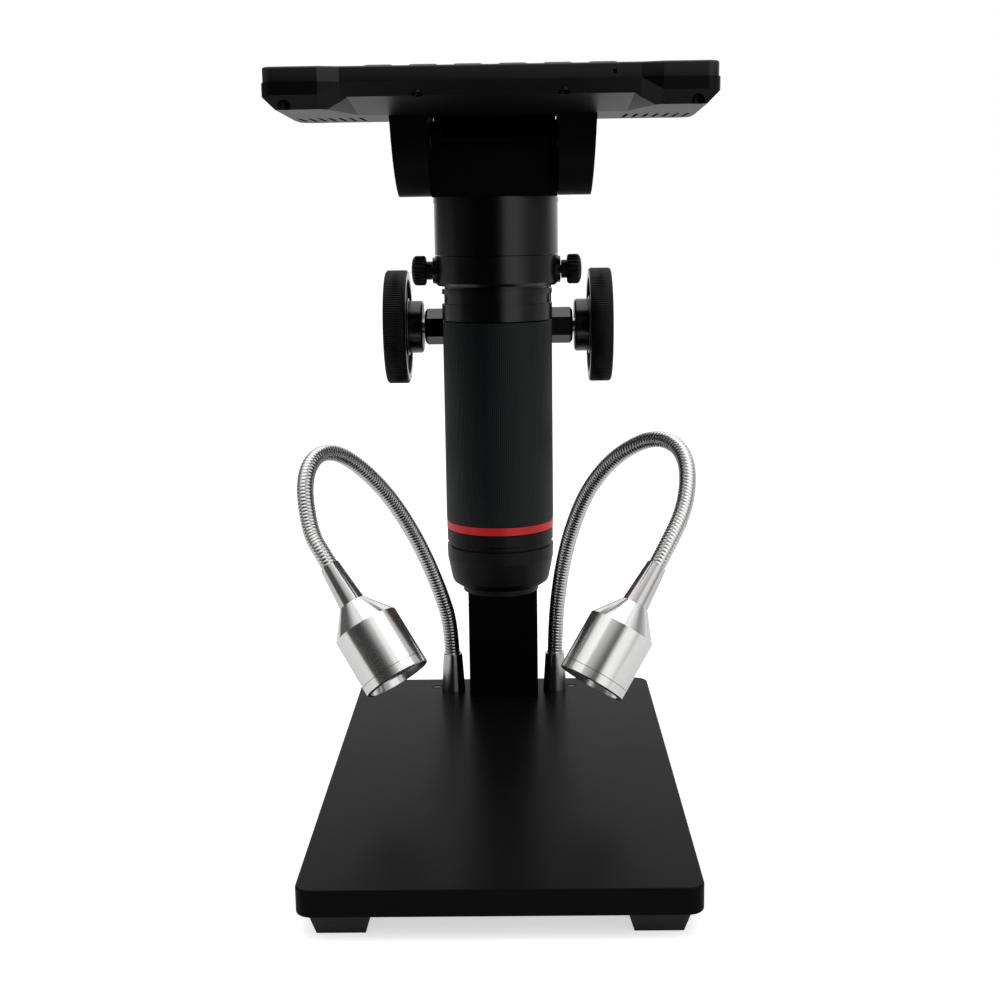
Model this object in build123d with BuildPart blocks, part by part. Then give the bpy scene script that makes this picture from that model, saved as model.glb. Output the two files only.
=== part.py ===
from build123d import *
import math
import os

# Stand microscope with a screen on a tilting hinge: a flat stage on four feet, a column with a rack,
# a rack-and-pinion carriage that carries the tube in a ring, a monitor on two ears, and two lamps on
# goosenecks. Millimetres. X is to the right, Y is away from the user and Z is up. The origin lies under
# the middle of the stage, on the surface that the feet stand on.

os.makedirs("parts", exist_ok=True)

# ---------------------------------------------------------------- clearances
SLIDE_GAP = 0.3        # between pieces of different bodies that slide or turn past each other
SHAFT_GAP = 0.06       # radial running clearance of a shaft in its bore
MESH_GAP = 0.3         # extra centre distance of the pinion from its rack
HEAD_ROOM = 0.3        # radial room for a screw head in its pocket
FIT_ROOM = 0.2         # radial room round a collar, a socket or a small screw head

# ---------------------------------------------------------------- stage and feet
BASE_WIDTH = 120.0
BASE_DEPTH = 200.0
PLATE_THICKNESS = 8.5
PLATE_CORNER_RADIUS = 5.0
PLATE_EDGE_RADIUS = 0.6
FOOT_HEIGHT = 7.5
FOOT_TOP = 19.0        # side of a foot where it meets the plate
FOOT_SOLE = 14.6       # side of a foot where it stands
FOOT_INSET = 13.0      # from the plate's edges to a foot's centre

PLATE_BOTTOM = FOOT_HEIGHT
PLATE_TOP = PLATE_BOTTOM + PLATE_THICKNESS
FOOT_PLACES = [
    (side * (BASE_WIDTH / 2 - FOOT_INSET), end * (BASE_DEPTH / 2 - FOOT_INSET))
    for side in (-1, 1)
    for end in (-1, 1)
]

# ---------------------------------------------------------------- column and rack
COLUMN_WIDTH = 27.8
COLUMN_DEPTH = 22.0
COLUMN_HEIGHT = 174.0
COLUMN_BACK_INSET = 3.0
COLUMN_EDGE_RADIUS = 1.0
RACK_WIDTH = 10.0
RACK_RUNOUT = 15.5     # how far the rack goes on below the pinion's lowest height
RACK_RECESS = 0.3      # tooth tips behind the column's front face
RACK_BACKING = 1.5     # solid metal behind the tooth roots

COLUMN_Y = BASE_DEPTH / 2 - COLUMN_BACK_INSET - COLUMN_DEPTH / 2
COLUMN_FRONT = COLUMN_Y - COLUMN_DEPTH / 2
COLUMN_BACK = COLUMN_Y + COLUMN_DEPTH / 2
COLUMN_TOP = PLATE_TOP + COLUMN_HEIGHT

# ---------------------------------------------------------------- focus drive
GEAR_MODULE = 1.0
PINION_TEETH = 12
PINION_WIDTH = 9.0
BACKLASH = 0.3         # taken off each pinion tooth's thickness
TOOTH_DEDENDUM = 1.25
RACK_ADDENDUM = 0.8
PRESSURE_ANGLE = 20.0
SHAFT_RADIUS = 3.0
PINION_HEIGHT = 167.1
CARRIAGE_DOWN = 25.0   # how far the carriage travels down from where it is drawn

PITCH_RADIUS = GEAR_MODULE * PINION_TEETH / 2
RACK_PITCH_Y = COLUMN_FRONT + RACK_RECESS + RACK_ADDENDUM
RACK_ROOT_Y = RACK_PITCH_Y + TOOTH_DEDENDUM * GEAR_MODULE
GROOVE_BOTTOM_Y = RACK_ROOT_Y + RACK_BACKING
PINION_Y = RACK_PITCH_Y - PITCH_RADIUS - MESH_GAP

BLOCK_HALF_WIDTH = 20.0
BLOCK_BOTTOM = 150.0
BLOCK_TOP = 184.3
BLOCK_NOSE = 17.0      # how far the block stands in front of the column
BLOCK_BACK_WALL = 3.5
BLOCK_EDGE_RADIUS = 1.2
BUSH_WALL = 1.4
COLLAR_LENGTH = 8.3
COLLAR_ACROSS_CORNERS = 13.8
COLLAR_CHAMFER = 1.0
COLLAR_TO_HUB = 0.7
HUB_LENGTH = 5.5
HUB_RADIUS = 10.0
KNOB_THICKNESS = 8.4
KNOB_RADIUS = 21.6
KNOB_CHAMFER = 0.7
KNOB_RIM = 3.6         # width of the raised rim on both faces
KNOB_DISH = 1.2
KNOB_BOSS_RADIUS = 11.0         # flat middle of a knob's inner face, round its hub

COLLAR_END = BLOCK_HALF_WIDTH + COLLAR_LENGTH
HUB_START = COLLAR_END + COLLAR_TO_HUB
KNOB_START = HUB_START + HUB_LENGTH
KNOB_END = KNOB_START + KNOB_THICKNESS
PINION_CAVITY_RADIUS = PITCH_RADIUS + GEAR_MODULE + 2 * SLIDE_GAP
PINION_CAVITY_HALF_WIDTH = PINION_WIDTH / 2 + 2 * SLIDE_GAP

# ---------------------------------------------------------------- ring holder
AXIS_REACH = 45.0      # from the column's front face to the tube's axis
RING_HEIGHT = 10.4
RING_RADIUS = 21.9
RING_CHAMFER = 1.0     # bevel round the ring's lower edge
ARM_HALF_WIDTH = 12.0
ARM_FOOT = 15.5        # length of the arm that lies on the block
BOSS_REACH = 22.6
BOSS_RADIUS = 4.6
THUMBSCREW_HEIGHT = 189.6
THUMBSCREW_RADIUS = 1.5
THUMBSCREW_NECK_LENGTH = 2.1
THUMBSCREW_NECK_RADIUS = 3.2
THUMBSCREW_HEAD_LENGTH = 5.15
THUMBSCREW_HEAD_RADIUS = 5.2
THUMBSCREW_EDGE = 0.4

AXIS_Y = COLUMN_FRONT - AXIS_REACH
RING_BOTTOM = BLOCK_TOP
RING_TOP = RING_BOTTOM + RING_HEIGHT
BLOCK_FRONT = COLUMN_FRONT - BLOCK_NOSE
TUBE_FOOT = (0, AXIS_Y, 0)

# ---------------------------------------------------------------- microscope tube
NECK_HEIGHT = 19.7
NECK_RADIUS = 21.8
NECK_WALL = 2.5
NECK_FLANGE_RADIUS = 22.0
NECK_FLANGE_HEIGHT = 1.7
NECK_SEAT_HEIGHT = 6.0          # thread length of the tube in the neck
BARREL_NECK_RADIUS = 18.6
BARREL_BORE_RADIUS = 14.5
BARREL_RADIUS = 16.4
BARREL_SHOULDER_RADIUS = 19.6
BARREL_SHOULDER_HEIGHT = 1.7
BARREL_GROOVE_RADIUS = 18.8
SHOULDER_SETBACK = 1.2          # the shoulder below the ring's underside
SENSOR_STANDOFF = 3.0
SENSOR_LEDGE = 3.0              # width of the neck's inner ledge beyond the tube's bore
COLLAR_RING_TOP = 178.0
COLLAR_RING_BOTTOM = 172.3
GRIP_TOP = 172.0
GRIP_RADIUS = 19.5
RED_RING_TOP = 99.7
RED_RING_RADIUS = 19.4
NOSE_TOP = 96.6
BOARD_THICKNESS = 1.6

NECK_BOTTOM = RING_TOP + SLIDE_GAP
NECK_TOP = NECK_BOTTOM + NECK_HEIGHT
BARREL_TOP = NECK_BOTTOM + NECK_SEAT_HEIGHT
BARREL_SHOULDER_TOP = RING_BOTTOM - SHOULDER_SETBACK
SENSOR_SEAT = BARREL_TOP + SENSOR_STANDOFF
RING_BORE_RADIUS = BARREL_NECK_RADIUS + SLIDE_GAP
GRIP_BORE_RADIUS = BARREL_RADIUS + SLIDE_GAP
NECK_BORE_RADIUS = NECK_RADIUS - NECK_WALL

# ---------------------------------------------------------------- nose and lens
BAND_RADIUS = 19.3
BAND_BOTTOM = 92.5
NOSE_GROOVE_RADIUS = 18.7
LOWER_BAND_TOP = 90.5
LOWER_BAND_RADIUS = 19.45
LOWER_BAND_BOTTOM = 86.0
TAPER_BOTTOM = 78.0
TAPER_RADIUS = 17.75
NOSE_TIP = 75.4
NOSE_TIP_RADIUS = 14.9
FILTER_RING_RADIUS = 13.8
FILTER_RING_BOTTOM = 73.3
FILTER_THREAD_RADIUS = 12.3
FILTER_SPIGOT_RADIUS = 13.2
FILTER_SPIGOT_LENGTH = 1.6
NOSE_BORE_RADIUS = 12.0
LENS_TRAVEL = 6.0
LENS_CELL_BOTTOM = 104.0
LENS_CELL_LENGTH = 34.0
LENS_RADIUS = 10.5
GUIDE_PIN_RADIUS = 1.2
GUIDE_PIN_HEIGHT = 121.0
GUIDE_PIN_ROOT = 11.0           # where a guide pin starts inside the cell's wall
GUIDE_PIN_SETBACK = 0.5         # a pin's end inside the tube's outer face
SLOT_SPARE = 1.0                # room in the slot beyond each end of the pin's travel
BAND_STEP = 0.3                 # height of the slopes beside the groove between the bands
TIP_BEVEL = 1.1                 # height of the bevel under the taper

# ---------------------------------------------------------------- head block
HEAD_HALF_WIDTH = 21.25
HEAD_DEPTH = 43.0
HEAD_SHOULDER = 16.7            # height of the straight part
HEAD_WALL = 2.5
COVER_STEP_HEIGHT = 2.8
COVER_SLOPE_HEIGHT = 8.6
COVER_HALF_WIDTH = 18.15
COVER_TOP_HALF_WIDTH = 8.6
COVER_WALL = 2.0
SADDLE_START = 30.0             # where the full-width, full-height rear of the head begins
POST_RADIUS = 3.2
POST_SPACING = 13.0
SPIGOT_WALL = 1.6

HEAD_BOTTOM = NECK_TOP
HEAD_TOP = HEAD_BOTTOM + HEAD_SHOULDER
COVER_STEP_TOP = HEAD_TOP + COVER_STEP_HEIGHT
COVER_TOP = COVER_STEP_TOP + COVER_SLOPE_HEIGHT
HEAD_FRONT = AXIS_Y - HEAD_DEPTH / 2
POST_PLACES = [(0, AXIS_Y - POST_SPACING / 2), (0, AXIS_Y + POST_SPACING / 2)]

# ---------------------------------------------------------------- monitor, in its own frame
# The monitor's frame has its origin on the hinge axis, +Y towards its far edge and +Z out of the screen.
REST_TILT = 1.2
HINGE_BEHIND_FACE = 6.0         # hinge axis behind the head block's front face
HINGE_DROP = 0.2                # hinge axis below the foot of the cover's slopes
MONITOR_WIDTH = 136.0
NEAR_REACH = 65.0
FAR_REACH = 21.0
BACK_HEIGHT = 7.0               # from the hinge axis to the flat back
MONITOR_THICKNESS = 12.2
BEZEL_WALL_HEIGHT = 4.5
BEZEL_INSET = 0.4
BEZEL_EDGE_RADIUS = 0.7
SHELL_WALL = 2.2
BEZEL_FACE = 1.8
MONITOR_CORNER_RADIUS = 4.0
CHAMFER = 4.0
SIDE_CHAMFER_END = 5.0          # how far back the chamfers of the sides narrow to nothing
EDGE_RECESS = 2.0
RECESS_HALF_WIDTH = 44.7
BLOCK_START = 51.0
RAMP_END = -26.0
RAMP_HALF_WIDTH = 43.0          # of the ramp's floor at the near edge
RAMP_SIDE = 6.0                 # width of the slopes beside it
CUTTER_SPARE = 2.0              # how far cutting shapes reach beyond what they cut
NEAR_THINNING = 3.6             # how much thinner the middle is at the near edge
WINDOW_HALF_WIDTH = 55.5
WINDOW_NEAR = -46.5
WINDOW_FAR = 16.0
PANEL_MARGIN = 2.2
PANEL_THICKNESS = 2.4
BUTTON_PITCH = 13.4
BUTTON_COUNT = 6
BUTTON_LENGTH = 8.6
BUTTON_DEPTH = 5.0
BUTTON_Y = -56.0
BUTTON_RISE = 0.6
BUTTON_TRAVEL = 0.4
VENT_PITCH = 3.4
VENT_COUNT = 7
VENT_LENGTH = 21.0
VENT_WIDTH = 1.2
VENT_INNER = 44.4
VENT_NEAR = -9.0
CORNER_SCREW_X = 61.4
CORNER_SCREW_NEAR = -61.8
CORNER_SCREW_FAR = 16.6
CENTRE_SCREW_X = 22.0
CENTRE_SCREW_Y = -59.0
POCKET_RADIUS = 2.0
EAR_INNER = 21.6
EAR_OUTER_TOP = 34.0
EAR_OUTER_BOTTOM = 32.6
EAR_RADIUS = 19.0
PIN_RADIUS = 3.5
LUG_RADIUS = 6.0

MONITOR_TOP = BACK_HEIGHT + MONITOR_THICKNESS
PARTING = MONITOR_TOP - BEZEL_WALL_HEIGHT
MONITOR_HALF_WIDTH = MONITOR_WIDTH / 2
FLOOR_TOP = BACK_HEIGHT + SHELL_WALL
HINGE_Y = HEAD_FRONT + HINGE_BEHIND_FACE
HINGE_HEIGHT = COVER_STEP_TOP - HINGE_DROP
TILTED = Plane(
    origin=(0, HINGE_Y, HINGE_HEIGHT),
    x_dir=(1, 0, 0),
    z_dir=(0, -math.sin(math.radians(REST_TILT)), math.cos(math.radians(REST_TILT))),
)

# ---------------------------------------------------------------- lamps
FERRULE_X = 21.0
FERRULE_SETBACK = 1.0           # ferrules in front of the column's middle
FERRULE_HEIGHT = 16.0
FERRULE_FOOT_RADIUS = 4.85
FERRULE_TIP_RADIUS = 3.85
FERRULE_SHANK_RADIUS = 4.0
FERRULE_SHANK_SINK = 0.8        # the shank's end above the plate's underside
FERRULE_RIM = 0.8               # height of the straight edge at a ferrule's foot
FERRULE_BORE_DEPTH = 12.0
GOOSENECK_RADIUS = 3.1
GOOSENECK_BORE = 1.8
NUT_ACROSS_FLATS = 12.0
NUT_HEIGHT = 3.0
NUT_POCKET_RADIUS = 8.2
NUT_POCKET_DEPTH = 3.8
WIRE_GROOVE_WIDTH = 4.0
PLUG_PLACES = [(-28.0, 3.0), (28.0, 3.0)]  # from the column's middle
PLUG_RADIUS = 2.3
PLUG_DEPTH = 4.0
LAMP_RADIUS = 12.0
BEZEL_LENGTH = 3.5
LAMP_CYLINDER_END = 22.0
LAMP_CONE_END = 31.4
LAMP_CONE_RADIUS = 5.1
SLEEVE_END = 47.2
SLEEVE_RADIUS = 4.8
SLEEVE_TIP_RADIUS = 3.6
SLEEVE_SPIGOT_RADIUS = 3.9
SLEEVE_SPIGOT_START = 26.5
LAMP_WALL = 1.4
REFLECTOR_DEPTH = 11.0
LENS_SEAT = 2.4
LENS_THICKNESS = 1.6
LAMP_EDGE = 0.4                 # bevel round a lamp's mouth
LENS_BED_RADIUS = 9.6
BEZEL_SPIGOT = 3.0              # how far the mouth ring reaches into the shell
REFLECTOR_THROAT = 3.0
LED_RIM = 1.0
LAMP_LEDGE_RADIUS = 7.6         # inside of the ledge that the lamp's board lies on
GOOSENECK_END = 41.0            # station in the sleeve where the gooseneck stops

FERRULE_Y = COLUMN_Y - FERRULE_SETBACK
LAMP_BORE = LAMP_RADIUS - LAMP_WALL
LED_STATION = LENS_SEAT + LENS_THICKNESS + REFLECTOR_DEPTH
LAMP_SIDES = {"left": -1, "right": 1}
# For each lamp: the middle of its mouth and the direction from the mouth back along its axis,
# and then the gooseneck's route from its ferrule to the sleeve, all from the ferrule's foot.
MOUTH = {"left": Vector(-14.7, -93.7, 34.6), "right": Vector(10.02, -96.88, 33.52)}
BACKWARD = {
    "left": Vector(-0.5185, 0.3521, 0.7792).normalized(),
    "right": Vector(0.5063, 0.3255, 0.7986).normalized(),
}
ROUTE = {
    "left": [
        (0, 0, 26), (-4.6, -4.2, 44.3), (-13.0, -10.8, 67.2), (-24.1, -21.0, 88.6),
        (-37.2, -33.5, 104.3), (-45.9, -46.8, 108.1), (-50.4, -58.3, 99.8), (-47.2, -68.0, 81.8),
    ],
    "right": [
        (0, 0, 26), (2.6, -3.5, 50.2), (6.8, -9.7, 70.1), (13.5, -18.9, 88.7),
        (24.3, -30.5, 103.7), (38.2, -41.8, 111.9), (47.6, -53.9, 106.7), (46.1, -67.2, 90.2),
    ],
}
LAST_BEND = 52.0                # station on the lamp's axis where the gooseneck's last bend lies
RUN_SHARE = 0.45                # share of a straight run that each of its bends may take


# ---------------------------------------------------------------- inside details: stage
FOOT_SCREW_HEAD_RADIUS = 2.9
FOOT_SCREW_HEAD_HEIGHT = 2.3
FOOT_SCREW_RADIUS = 1.5
FOOT_SCREW_BITE = 5.5
FOOT_SCREW_SINK = 3.5
COLUMN_SCREW_X = 8.0
COLUMN_SCREW_RADIUS = 2.5
COLUMN_SCREW_HEAD_RADIUS = 4.2
COLUMN_SCREW_HEAD_HEIGHT = 4.0
COLUMN_SCREW_SINK = 4.6
COLUMN_SCREW_BITE = 12.0
FERRULE_FEET = {name: (side * FERRULE_X, FERRULE_Y, PLATE_TOP) for name, side in LAMP_SIDES.items()}
COLUMN_SCREW_PLACES = [(-COLUMN_SCREW_X, COLUMN_Y), (COLUMN_SCREW_X, COLUMN_Y)]
PLUG_TOPS = [(x, COLUMN_Y + y) for x, y in PLUG_PLACES]

# ---------------------------------------------------------------- inside details: column
RACK_BOTTOM = PINION_HEIGHT - CARRIAGE_DOWN - RACK_RUNOUT
# The pinion has the middle of a tooth straight towards the rack, so the rack has a gap at that height.
RACK_PITCH = math.pi * GEAR_MODULE
FLANK = math.tan(math.radians(PRESSURE_ANGLE))
TOOTH_HALF_AT_PITCH = RACK_PITCH / 4

# ---------------------------------------------------------------- inside details: focus carriage
CHANNEL_HALF_WIDTH = COLUMN_WIDTH / 2 + SLIDE_GAP
CHANNEL_FRONT = COLUMN_FRONT - SLIDE_GAP
CHANNEL_BACK = COLUMN_BACK + SLIDE_GAP
BUSH_BORE = SHAFT_RADIUS + SHAFT_GAP
BUSH_RADIUS = BUSH_BORE + BUSH_WALL
HOLDER_SCREW_X = 9.0
HOLDER_SCREW_Y = BLOCK_FRONT + 6.0
HOLDER_SCREW_RADIUS = 1.5
HOLDER_SCREW_HEAD_RADIUS = 2.8
HOLDER_SCREW_HEAD_HEIGHT = 3.0
HOLDER_SCREW_BITE = 8.0
HOLDER_SCREW_PLACES = [(-HOLDER_SCREW_X, HOLDER_SCREW_Y), (HOLDER_SCREW_X, HOLDER_SCREW_Y)]

# ---------------------------------------------------------------- inside details: pinion, shaft and knobs
BASE_CIRCLE = PITCH_RADIUS * math.cos(math.radians(PRESSURE_ANGLE))
TIP_CIRCLE = PITCH_RADIUS + GEAR_MODULE
ROOT_CIRCLE = PITCH_RADIUS - TOOTH_DEDENDUM * GEAR_MODULE
FLANK_POINTS = 6
SHAFT_END = KNOB_END - KNOB_DISH
HUB_EDGE = 0.6

# ---------------------------------------------------------------- inside details: thumbscrews
THUMBSCREW_TIP = BARREL_NECK_RADIUS + SLIDE_GAP
THUMBSCREW_NECK_START = BOSS_REACH + SLIDE_GAP
THUMBSCREW_HEAD_START = THUMBSCREW_NECK_START + THUMBSCREW_NECK_LENGTH
THUMBSCREW_END = THUMBSCREW_HEAD_START + THUMBSCREW_HEAD_LENGTH

# ---------------------------------------------------------------- inside details: microscope tube
LENS_CELL_RADIUS = BARREL_BORE_RADIUS - SLIDE_GAP
LENS_LEDGE = 1.0
LENS_HEIGHT = 4.0
LENS_SPACING = 12.0
LENS_BORE = LENS_RADIUS - LENS_LEDGE
LENS_SEATS = [
    LENS_CELL_BOTTOM,
    LENS_CELL_BOTTOM + LENS_SPACING,
    LENS_CELL_BOTTOM + LENS_CELL_LENGTH - LENS_HEIGHT,
]
LENS_CROWN = 0.9       # how much thinner a lens is at its edge than in the middle, on each face
SENSOR_SIZE = 12.0
SENSOR_HEIGHT = 1.5

# ---------------------------------------------------------------- inside details: head block and hinge
WIRE_HOLE_RADIUS = 5.0
WIRE_HOLE_X = 12.0
LUG_FOOT = 5.0         # height above the head block's underside where a hinge lug starts
BOARD_TOP = SENSOR_SEAT + BOARD_THICKNESS
COVER_SCREW_RADIUS = 1.5
COVER_SCREW_HEAD_RADIUS = 2.7
COVER_SCREW_LENGTH = 12.0
POST_TOP = COVER_TOP - COVER_WALL
COVER_TOP_DEPTH = HEAD_DEPTH - 2 * COVER_SLOPE_HEIGHT
CHEEK_TOP = HINGE_HEIGHT + LUG_RADIUS
COVER_SETBACK = 0.5
PIN_END = 30.0

# ---------------------------------------------------------------- inside details: monitor
EAR_SCREW_X = 27.7
EAR_SCREW_Y = 11.0
EAR_SCREW_RADIUS = 1.5
EAR_SCREW_HEAD_RADIUS = 2.7
EAR_SCREW_HEAD_HEIGHT = 1.8
EAR_SCREW_BITE = 9.0
EAR_SCREW_PLACES = [(x, y) for x in (-EAR_SCREW_X, EAR_SCREW_X) for y in (-EAR_SCREW_Y, EAR_SCREW_Y)]
POST_WALL = 1.6
HEAD_POCKET_NEAR = -1.0
HEAD_POCKET_DEPTH = 3.0
POCKET_CEILING = 11.4
CORNER_SCREW_PLACES = [
    (x, y) for x in (-CORNER_SCREW_X, CORNER_SCREW_X) for y in (CORNER_SCREW_NEAR, CORNER_SCREW_FAR)
]
CENTRE_SCREW_PLACES = [(-CENTRE_SCREW_X, CENTRE_SCREW_Y), (CENTRE_SCREW_X, CENTRE_SCREW_Y)]
CENTRE_POCKET_RADIUS = 1.65
CENTRE_POCKET_CEILING = 13.0
SCREW_HEAD_HEIGHT = 1.2
MONITOR_SCREW_RADIUS = 0.9
HDMI_X = 34.0
USB_X = 52.0
SOCKET_SIZES = {"hdmi": (HDMI_X, 11.2, 2.7), "usb": (USB_X, 7.6, 2.5)}
SOCKET_DEPTH = 7.0
SOCKET_WALL = 0.35
SOCKET_FLOOR = 1.0
TONGUE_INSET = 1.8
TONGUE_THICKNESS = 0.6
MAIN_BOARD_BOTTOM = 12.0
PAD_WALL = 1.5
PAD_MARGIN = 2.0
CORNER_POST_RADIUS = POCKET_RADIUS + POST_WALL
CENTRE_POST_RADIUS = 2.2
SHELL_SCREWS = [(x, y, CORNER_POST_RADIUS, POCKET_RADIUS, POCKET_CEILING) for x, y in CORNER_SCREW_PLACES]
SHELL_SCREWS += [
    (x, y, CENTRE_POST_RADIUS, CENTRE_POCKET_RADIUS, CENTRE_POCKET_CEILING) for x, y in CENTRE_SCREW_PLACES
]
BOARD_LEFT = -45.0
BOARD_RIGHT = 57.0
BOARD_NEAR = -38.0
BOARD_FAR = FAR_REACH - SHELL_WALL - 2 * FIT_ROOM
CHIP_SIZE = 18.0
CHIP_HEIGHT = 1.0
CHIP_Y = -15.0
BOARD_POST_PLACES = [(x, y) for x in (-40.0, 40.0) for y in (-33.0, 8.0)]
BOARD_POST_RADIUS = 2.5
HEAD_SWEEP_TOP = BACK_HEIGHT + HEAD_POCKET_DEPTH
PANEL_TOP = MONITOR_TOP - BEZEL_FACE
PANEL_HALF_WIDTH = WINDOW_HALF_WIDTH + PANEL_MARGIN
PANEL_NEAR = WINDOW_NEAR - PANEL_MARGIN
PANEL_FAR = WINDOW_FAR + PANEL_MARGIN
BUTTON_PLACES = [
    ((number - (BUTTON_COUNT - 1) / 2) * BUTTON_PITCH, BUTTON_Y) for number in range(BUTTON_COUNT)
]
BUTTON_FLANGE = 0.7
BUTTON_FLANGE_HEIGHT = 0.7
BUTTON_CORNER_RADIUS = 1.4
BUTTON_EDGE_RADIUS = 0.45
WINDOW_BEVEL = 0.8
PIN_HOLE_X = 36.8
PIN_HOLE_HEIGHT = 16.6
PIN_HOLE_SIZE = 1.2
BEZEL_POST_RADIUS = 2.4
SCREW_BITE = 1.6
TAB_THICKNESS = 0.5
BUTTON_FOOT = PANEL_TOP - SLIDE_GAP - BUTTON_FLANGE_HEIGHT
SWITCH_TOP = BUTTON_FOOT - BUTTON_TRAVEL - SLIDE_GAP
SWITCH_HEIGHT = 1.0
SWITCH_LENGTH = 4.0
SWITCH_WIDTH = 2.4
SWITCH_OFFSET = 1.5
SWITCH_Y = BUTTON_Y + SWITCH_OFFSET
BUTTON_BOARD_TOP = SWITCH_TOP - SWITCH_HEIGHT
BUTTON_BOARD_THICKNESS = 1.2
BUTTON_BOARD_NEAR = CENTRE_SCREW_Y + CENTRE_POST_RADIUS + SLIDE_GAP
BUTTON_BOARD_FAR = PANEL_NEAR - SLIDE_GAP
BUTTON_BOARD_HALF_WIDTH = 40.0


# ---------------------------------------------------------------- helpers
def turned(origin, direction, outline):
    """Return the face with (radius, station) corners about the axis through origin along direction."""
    axis = Vector(*direction).normalized()
    side = Vector(1, 0, 0) if abs(axis.X) < 0.9 else Vector(0, 0, 1)
    side = (side - axis * side.dot(axis)).normalized()
    with BuildSketch(Plane(origin=origin, x_dir=side, z_dir=side.cross(axis))) as face:
        with BuildLine():
            Polyline(*outline, close=True)
        make_face()
    return face.sketch


def spin(origin, direction, outline, mode=Mode.ADD):
    """Revolve an outline of (radius, station) corners about an axis into the open part."""
    revolve(turned(origin, direction, outline), axis=Axis(origin, direction), mode=mode)


def rod(start, direction, radius, length, mode=Mode.ADD):
    """Put a plain cylinder into the open part, from start along direction."""
    spin(start, direction, [(0, 0), (radius, 0), (radius, length), (0, length)], mode)


def tube(start, direction, bore, radius, length, mode=Mode.ADD):
    """Put a plain tube into the open part, from start along direction."""
    spin(start, direction, [(bore, 0), (radius, 0), (radius, length), (bore, length)], mode)


def block(low, high, mode=Mode.ADD):
    """Put a box into the open part between two opposite corners, in the part's workplane."""
    middle = tuple((a + b) / 2 for a, b in zip(low, high))
    with Locations(middle):
        Box(*(b - a for a, b in zip(low, high)), mode=mode)


def finish(builder, node, frame=Plane.XY):
    """Name a finished piece, place it in its frame and write its file."""
    piece = frame.from_local_coords(builder.part)
    piece.label = node
    export_step(piece, f"parts/{node}.step")


UP = (0, 0, 1)
DOWN = (0, 0, -1)
RIGHT = (1, 0, 0)

# ================================================================ stage


with BuildPart() as base_plate:
    with BuildSketch(Plane.XY.offset(PLATE_BOTTOM)):
        RectangleRounded(BASE_WIDTH, BASE_DEPTH, PLATE_CORNER_RADIUS)
    extrude(amount=PLATE_THICKNESS)
    fillet(base_plate.edges().group_by(Axis.Z)[-1], PLATE_EDGE_RADIUS)
    fillet(base_plate.edges().group_by(Axis.Z)[0], PLATE_EDGE_RADIUS)
    for x, y in FOOT_PLACES:
        rod((x, y, PLATE_BOTTOM), UP, FOOT_SCREW_RADIUS, FOOT_SCREW_BITE, Mode.SUBTRACT)
    for x, y in COLUMN_SCREW_PLACES:
        rod((x, y, PLATE_BOTTOM), UP, COLUMN_SCREW_HEAD_RADIUS + HEAD_ROOM, COLUMN_SCREW_SINK, Mode.SUBTRACT)
        rod((x, y, PLATE_BOTTOM), UP, COLUMN_SCREW_RADIUS, PLATE_THICKNESS, Mode.SUBTRACT)
    for x, y in PLUG_TOPS:
        rod((x, y, PLATE_TOP), DOWN, PLUG_RADIUS, PLUG_DEPTH, Mode.SUBTRACT)
    for x, y, _ in FERRULE_FEET.values():
        rod((x, y, PLATE_BOTTOM), UP, FERRULE_SHANK_RADIUS, PLATE_THICKNESS, Mode.SUBTRACT)
        rod((x, y, PLATE_BOTTOM), UP, NUT_POCKET_RADIUS, NUT_POCKET_DEPTH, Mode.SUBTRACT)
        block(
            (x - WIRE_GROOVE_WIDTH / 2, y, PLATE_BOTTOM),
            (x + WIRE_GROOVE_WIDTH / 2, BASE_DEPTH / 2, PLATE_BOTTOM + WIRE_GROOVE_WIDTH / 2),
            Mode.SUBTRACT,
        )
finish(base_plate, "base_plate")

with BuildPart() as feet:
    for x, y in FOOT_PLACES:
        with BuildSketch(Plane((x, y, 0))):
            Rectangle(FOOT_SOLE, FOOT_SOLE)
        with BuildSketch(Plane((x, y, FOOT_HEIGHT))):
            Rectangle(FOOT_TOP, FOOT_TOP)
        loft()
        rod((x, y, 0), UP, FOOT_SCREW_HEAD_RADIUS + HEAD_ROOM, FOOT_SCREW_SINK, Mode.SUBTRACT)
        rod((x, y, 0), UP, FOOT_SCREW_RADIUS, FOOT_HEIGHT, Mode.SUBTRACT)
finish(feet, "feet")

with BuildPart() as base_screws:
    for x, y in FOOT_PLACES:
        rod((x, y, FOOT_SCREW_SINK), DOWN, FOOT_SCREW_HEAD_RADIUS, FOOT_SCREW_HEAD_HEIGHT)
        rod((x, y, FOOT_SCREW_SINK), UP, FOOT_SCREW_RADIUS, PLATE_BOTTOM + FOOT_SCREW_BITE - FOOT_SCREW_SINK)
    for x, y in COLUMN_SCREW_PLACES:
        under_head = PLATE_BOTTOM + COLUMN_SCREW_SINK
        rod((x, y, under_head), DOWN, COLUMN_SCREW_HEAD_RADIUS, COLUMN_SCREW_HEAD_HEIGHT)
        rod((x, y, under_head), UP, COLUMN_SCREW_RADIUS, PLATE_TOP + COLUMN_SCREW_BITE - under_head)
finish(base_screws, "base_screws")

with BuildPart() as stage_plugs:
    for x, y in PLUG_TOPS:
        rod((x, y, PLATE_TOP), DOWN, PLUG_RADIUS, PLUG_DEPTH)
finish(stage_plugs, "stage_plugs")

# ================================================================ column

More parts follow.
